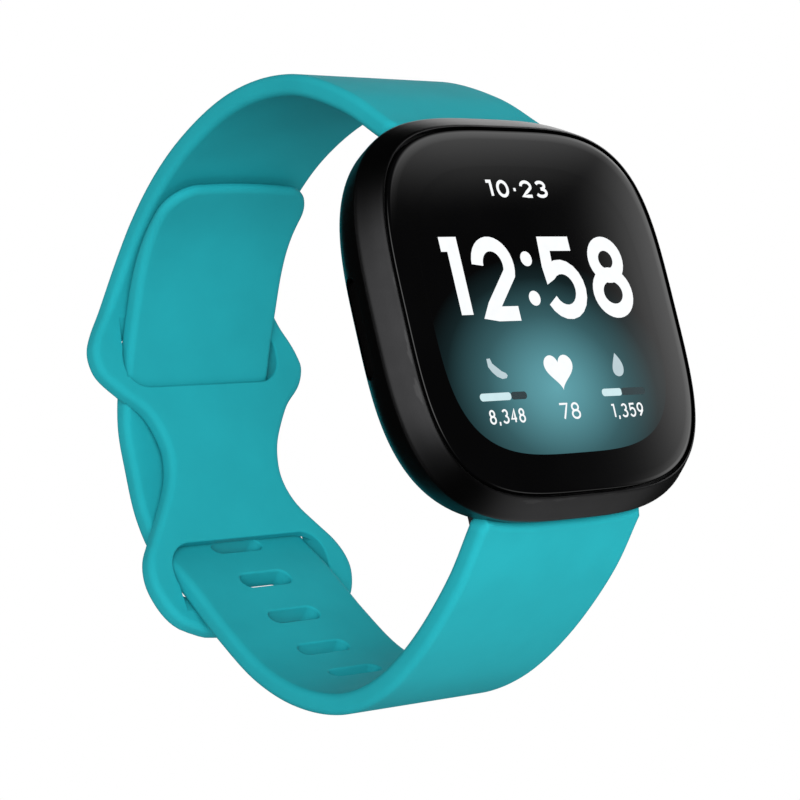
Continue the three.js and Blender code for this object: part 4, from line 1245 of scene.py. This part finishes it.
class TRACKER_OT_peg(bpy.types.Operator):
    """Build the metal peg that holds the strap closed"""

    bl_idname = "tracker.peg"
    bl_label = "Peg"

    def execute(self, context):
        low, high = (np.array(corner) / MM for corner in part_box("clasp_peg"))
        middle = (low[2] + high[2]) / 2
        base_front = low[1] + 0.7
        top = high[1]
        base = prism("peg", rounded_box(4.4, 4.4, 1.4, 64), -low[1], -base_front, (0.0, middle), "Y", 0.12)
        stud = prism("stud", stadium(6.2, 1.9, 64), -(base_front - 0.2), -(top - 0.3), (0.0, middle), "Y")
        head = prism("head", stadium(6.7, 2.4, 64), -(top - 0.6), -top, (0.0, middle), "Y", 0.24)
        cut_away(base, [stud, head], "UNION")
        base.name = "closure_peg"
        settle(base, finish_for("peg"), "case", ["clasp_peg"], 30.0)
        return {"FINISHED"}


# ---- latch springs


SPRING_TURNS = 3
SPRING_RADIUS = 0.65
SPRING_WIRE = 0.20


class TRACKER_OT_springs(bpy.types.Operator):
    """Build the return springs of the two strap latches"""

    bl_idname = "tracker.springs"
    bl_label = "Latch springs"

    def execute(self, context):
        for word in ("upper", "lower"):
            node = word + "_latch_spring"
            low, high = (np.array(corner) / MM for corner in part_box(node))
            middle = (low[2] + high[2]) / 2
            rise = high[1] - low[1] - SPRING_WIRE
            steps = SPRING_TURNS * 20
            work = bmesh.new()
            bmesh.ops.create_circle(work, segments=12, radius=SPRING_WIRE / 2)
            bmesh.ops.translate(work, vec=(SPRING_RADIUS, low[1] + SPRING_WIRE / 2, middle), verts=work.verts)
            bmesh.ops.spin(
                work,
                geom=work.verts[:] + work.edges[:],
                cent=(0.0, 0.0, middle),
                axis=(0.0, 1.0, 0.0),
                dvec=(0.0, rise / steps, 0.0),
                angle=2 * math.pi * SPRING_TURNS,
                steps=steps,
            )
            ends = [edge for edge in work.edges if len(edge.link_faces) == 1]
            bmesh.ops.holes_fill(work, edges=ends)
            spring = loose(word + "_return_coil", work)
            settle(spring, finish_for("steel"), "case", [node])
            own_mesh(spring)
        return {"FINISHED"}


# ---- carried-over parts


CARRIED_OVER = {
    "seal": ["glass_gasket", "back_gasket", "key_seal", "light_shield"],
    "flex": ["display_flex"],
    "polymer": ["chassis", "key_switch"],
    "board": ["main_board", "sensor_board"],
    "steel": ["shield_can", "motor_can", "motor_base", "motor_rotor"]
    + ["case_screw_1", "case_screw_2", "case_screw_3", "case_screw_4"],
    "foil": ["battery"],
    "gold": ["charge_contact_left", "charge_contact_right"],
    "green_chip": ["led_green_left", "led_green_right"],
    "diode": ["photodiode_top", "photodiode_bottom"],
    "peg": ["upper_connector", "lower_connector", "upper_latch", "lower_latch"],
}


class TRACKER_OT_carried_parts(bpy.types.Operator):
    """Give the carried-over parts their finishes"""

    bl_idname = "tracker.carried_parts"
    bl_label = "Inner parts"

    def execute(self, context):
        for finish, names in CARRIED_OVER.items():
            for name in names:
                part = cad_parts[name]
                part.data.materials.clear()
                part.data.materials.append(finish_for(finish))
        return {"FINISHED"}


# ---- stage


CAMERA_PLACE = (-0.18308, -0.18445, -0.05139)
CAMERA_RIGHT = (0.73883, -0.63789, -0.21732)
CAMERA_UP = (0.04160, -0.27870, 0.95948)
CAMERA_BACK = (-0.67261, -0.71793, -0.17937)
CAMERA_LENS = 119.98


# Name, place and power of each lamp.
LAMPS = (
    ("key_light", (-0.38, -0.46, -0.04), 3.9),
    ("low_light", (-0.10, -0.20, -0.45), 0.35),
    ("front_light", (0.16, -0.48, -0.26), 0.9),
)
LAMP_SIZE = 0.40
LAMP_TARGET = (0.0, 0.015, 0.0)
# The sky's strength to diffuse rays, and to gloss between the panels.
SKY_LEVEL = 0.40
GLOSS_DARK = 0.012
FLOOR_HALF = 1.2
FLOOR_GAP = 0.0003


def soft_light(name, place, power):
    """A round soft lamp that gives light but no gloss of its own."""
    lamp = bpy.data.lights.new(name, "AREA")
    lamp.shape = "DISK"
    lamp.size = LAMP_SIZE
    lamp.energy = power
    holder = bpy.data.objects.new(name, lamp)
    holder.location = place
    aim = Vector(LAMP_TARGET) - Vector(place)
    holder.rotation_euler = aim.to_track_quat("-Z", "Y").to_euler()
    holder.visible_glossy = False
    bpy.context.scene.collection.objects.link(holder)


def ranged(tree, value, low, high, to_low, to_high):
    """A smooth change of a value from one level to another."""
    change = tree.nodes.new("ShaderNodeMapRange")
    change.interpolation_type = "SMOOTHSTEP"
    change.inputs["From Min"].default_value = low
    change.inputs["From Max"].default_value = high
    change.inputs["To Min"].default_value = to_low
    change.inputs["To Max"].default_value = to_high
    tree.links.new(value, change.inputs["Value"])
    return change.outputs["Result"]


def combined(tree, operation, a, b):
    maths = tree.nodes.new("ShaderNodeMath")
    maths.operation = operation
    for socket, value in zip(maths.inputs, (a, b)):
        if isinstance(value, float):
            socket.default_value = value
        else:
            tree.links.new(value, socket)
    return maths.outputs["Value"]


def studio_world():
    """A white room for the eye, an even sky for soft light and large panels for the gloss."""
    world = bpy.data.worlds.new("studio")
    bpy.context.scene.world = world
    world.use_nodes = True
    tree = world.node_tree
    tree.nodes.clear()
    facing = tree.nodes.new("ShaderNodeTexCoord")
    axes = tree.nodes.new("ShaderNodeSeparateXYZ")
    tree.links.new(facing.outputs["Generated"], axes.inputs["Vector"])
    x, y, z = (axes.outputs[axis] for axis in "XYZ")
    above = ranged(tree, z, 0.262, 0.42, 0.0, 1.8)
    above = combined(tree, "MULTIPLY", above, ranged(tree, z, 0.75, 0.50, 0.0, 1.0))
    above = combined(tree, "MULTIPLY", above, ranged(tree, x, 0.25, 0.65, 0.0, 1.0))
    right = ranged(tree, x, 0.715, 0.87, 0.0, 1.9)
    left = ranged(tree, x, -0.40, -0.75, 0.0, 2.4)
    left = combined(tree, "MULTIPLY", left, ranged(tree, z, 0.70, 0.25, 0.0, 1.0))
    sides = combined(tree, "MAXIMUM", right, left)
    sides = combined(tree, "MULTIPLY", sides, ranged(tree, y, -0.05, -0.4, 0.0, 1.0))
    sides = combined(tree, "MULTIPLY", sides, ranged(tree, z, -0.55, -0.1, 0.1, 1.0))
    rim = ranged(tree, y, 0.16, 0.28, 0.0, 1.0)
    rim = combined(tree, "MULTIPLY", rim, ranged(tree, y, 0.48, 0.34, 0.0, 0.5))
    rim = combined(tree, "MULTIPLY", rim, ranged(tree, x, -0.5, -0.8, 0.0, 1.0))
    low = ranged(tree, z, -0.45, -0.75, 0.0, 0.8)
    low = combined(tree, "MULTIPLY", low, ranged(tree, x, 0.2, 0.6, 0.0, 1.0))
    panels = above
    for panel in (sides, rim, low):
        panels = combined(tree, "MAXIMUM", panels, panel)
    panels = combined(tree, "ADD", panels, GLOSS_DARK)
    path = tree.nodes.new("ShaderNodeLightPath")
    level = tree.nodes.new("ShaderNodeMix")
    level.data_type = "FLOAT"
    level.inputs["A"].default_value = SKY_LEVEL
    mirrored = combined(tree, "MAXIMUM", path.outputs["Is Glossy Ray"], path.outputs["Is Transmission Ray"])
    tree.links.new(mirrored, level.inputs["Factor"])
    tree.links.new(panels, level.inputs["B"])
    seen = tree.nodes.new("ShaderNodeMix")
    seen.data_type = "FLOAT"
    seen.inputs["B"].default_value = 1.0
    tree.links.new(path.outputs["Is Camera Ray"], seen.inputs["Factor"])
    tree.links.new(level.outputs["Result"], seen.inputs["A"])
    sky = tree.nodes.new("ShaderNodeBackground")
    sky.inputs["Color"].default_value = (1.0, 1.0, 1.0, 1.0)
    tree.links.new(seen.outputs["Result"], sky.inputs["Strength"])
    out = tree.nodes.new("ShaderNodeOutputWorld")
    tree.links.new(sky.outputs["Background"], out.inputs["Surface"])


def floor_finish(tint):
    """A pale floor that is seen from above and let through from below."""
    finish, tree, shader = new_finish("pale_floor")
    cloud = noise(tree, place_on_object(tree), 6.0)
    dark, light = shades(tint, 0.01)
    tree.links.new(ramp(tree, cloud, [(0.3, dark), (0.7, light)]), shader.inputs["Base Color"])
    shader.inputs["Roughness"].default_value = 0.9
    shader.inputs["Specular IOR Level"].default_value = 0.1
    clear = tree.nodes.new("ShaderNodeBsdfTransparent")
    side = tree.nodes.new("ShaderNodeNewGeometry")
    choose = tree.nodes.new("ShaderNodeMixShader")
    out = next(node for node in tree.nodes if node.type == "OUTPUT_MATERIAL")
    tree.links.new(side.outputs["Backfacing"], choose.inputs["Fac"])
    tree.links.new(shader.outputs["BSDF"], choose.inputs[1])
    tree.links.new(clear.outputs["BSDF"], choose.inputs[2])
    tree.links.new(choose.outputs["Shader"], out.inputs["Surface"])
    return finish


class TRACKER_OT_stage(bpy.types.Operator):
    """Set up the floor, the soft light and the camera"""

    bl_idname = "tracker.stage"
    bl_label = "Floor, light and camera"

    def execute(self, context):
        scene = context.scene
        colours = scene.tracker_colours
        scene.view_settings.view_transform = "Standard"
        scene.view_settings.look = "None"
        work = bmesh.new()
        bmesh.ops.create_grid(work, x_segments=8, y_segments=8, size=FLOOR_HALF)
        floor_mesh = bpy.data.meshes.new("floor")
        bmesh.ops.translate(work, vec=(0.0, 0.0, cad_bounds[0][2] - FLOOR_GAP), verts=work.verts)
        work.to_mesh(floor_mesh)
        work.free()
        floor = bpy.data.objects.new("floor", floor_mesh)
        scene.collection.objects.link(floor)
        floor_mesh.materials.append(floor_finish(tuple(colours.floor)))
        floor.visible_diffuse = False
        floor.visible_glossy = False
        floor.visible_shadow = False
        studio_world()
        for lamp in LAMPS:
            soft_light(*lamp)

        lens = bpy.data.cameras.new("camera")
        lens.lens = CAMERA_LENS
        lens.sensor_width = 36.0
        lens.clip_start = 0.01
        lens.clip_end = 10.0
        camera = bpy.data.objects.new("camera", lens)
        turn = Matrix((CAMERA_RIGHT, CAMERA_UP, CAMERA_BACK)).transposed().to_4x4()
        camera.matrix_world = Matrix.Translation(CAMERA_PLACE) @ turn
        scene.collection.objects.link(camera)
        scene.camera = camera
        return {"FINISHED"}


# ---- add-on


STEPS = (
    TRACKER_OT_stage,
    TRACKER_OT_case,
    TRACKER_OT_glass,
    TRACKER_OT_screen,
    TRACKER_OT_key,
    TRACKER_OT_cover,
    TRACKER_OT_upper_strap,
    TRACKER_OT_lower_strap,
    TRACKER_OT_peg,
    TRACKER_OT_springs,
    TRACKER_OT_carried_parts,
)


class TRACKER_PT_panel(bpy.types.Panel):
    """Lists the pieces of the tracker in the sidebar"""

    bl_idname = "TRACKER_PT_panel"
    bl_label = "Fitness Tracker Band"
    bl_space_type = "VIEW_3D"
    bl_region_type = "UI"
    bl_category = "Tracker"

    def draw(self, context):
        for step in STEPS:
            self.layout.operator(step.bl_idname)


CLASSES = (TrackerCaseSizes, TrackerStrapSizes, TrackerColours, *STEPS, TRACKER_PT_panel)


def register():
    for item in CLASSES:
        bpy.utils.register_class(item)
    bpy.types.Scene.tracker_case = PointerProperty(type=TrackerCaseSizes)
    bpy.types.Scene.tracker_strap = PointerProperty(type=TrackerStrapSizes)
    bpy.types.Scene.tracker_colours = PointerProperty(type=TrackerColours)


def unregister():
    del bpy.types.Scene.tracker_colours
    del bpy.types.Scene.tracker_strap
    del bpy.types.Scene.tracker_case
    for item in reversed(CLASSES):
        bpy.utils.unregister_class(item)


def main():
    register()
    for step in STEPS:
        group, name = step.bl_idname.split(".")
        getattr(getattr(bpy.ops, group), name)()


if __name__ == "__main__":
    main()
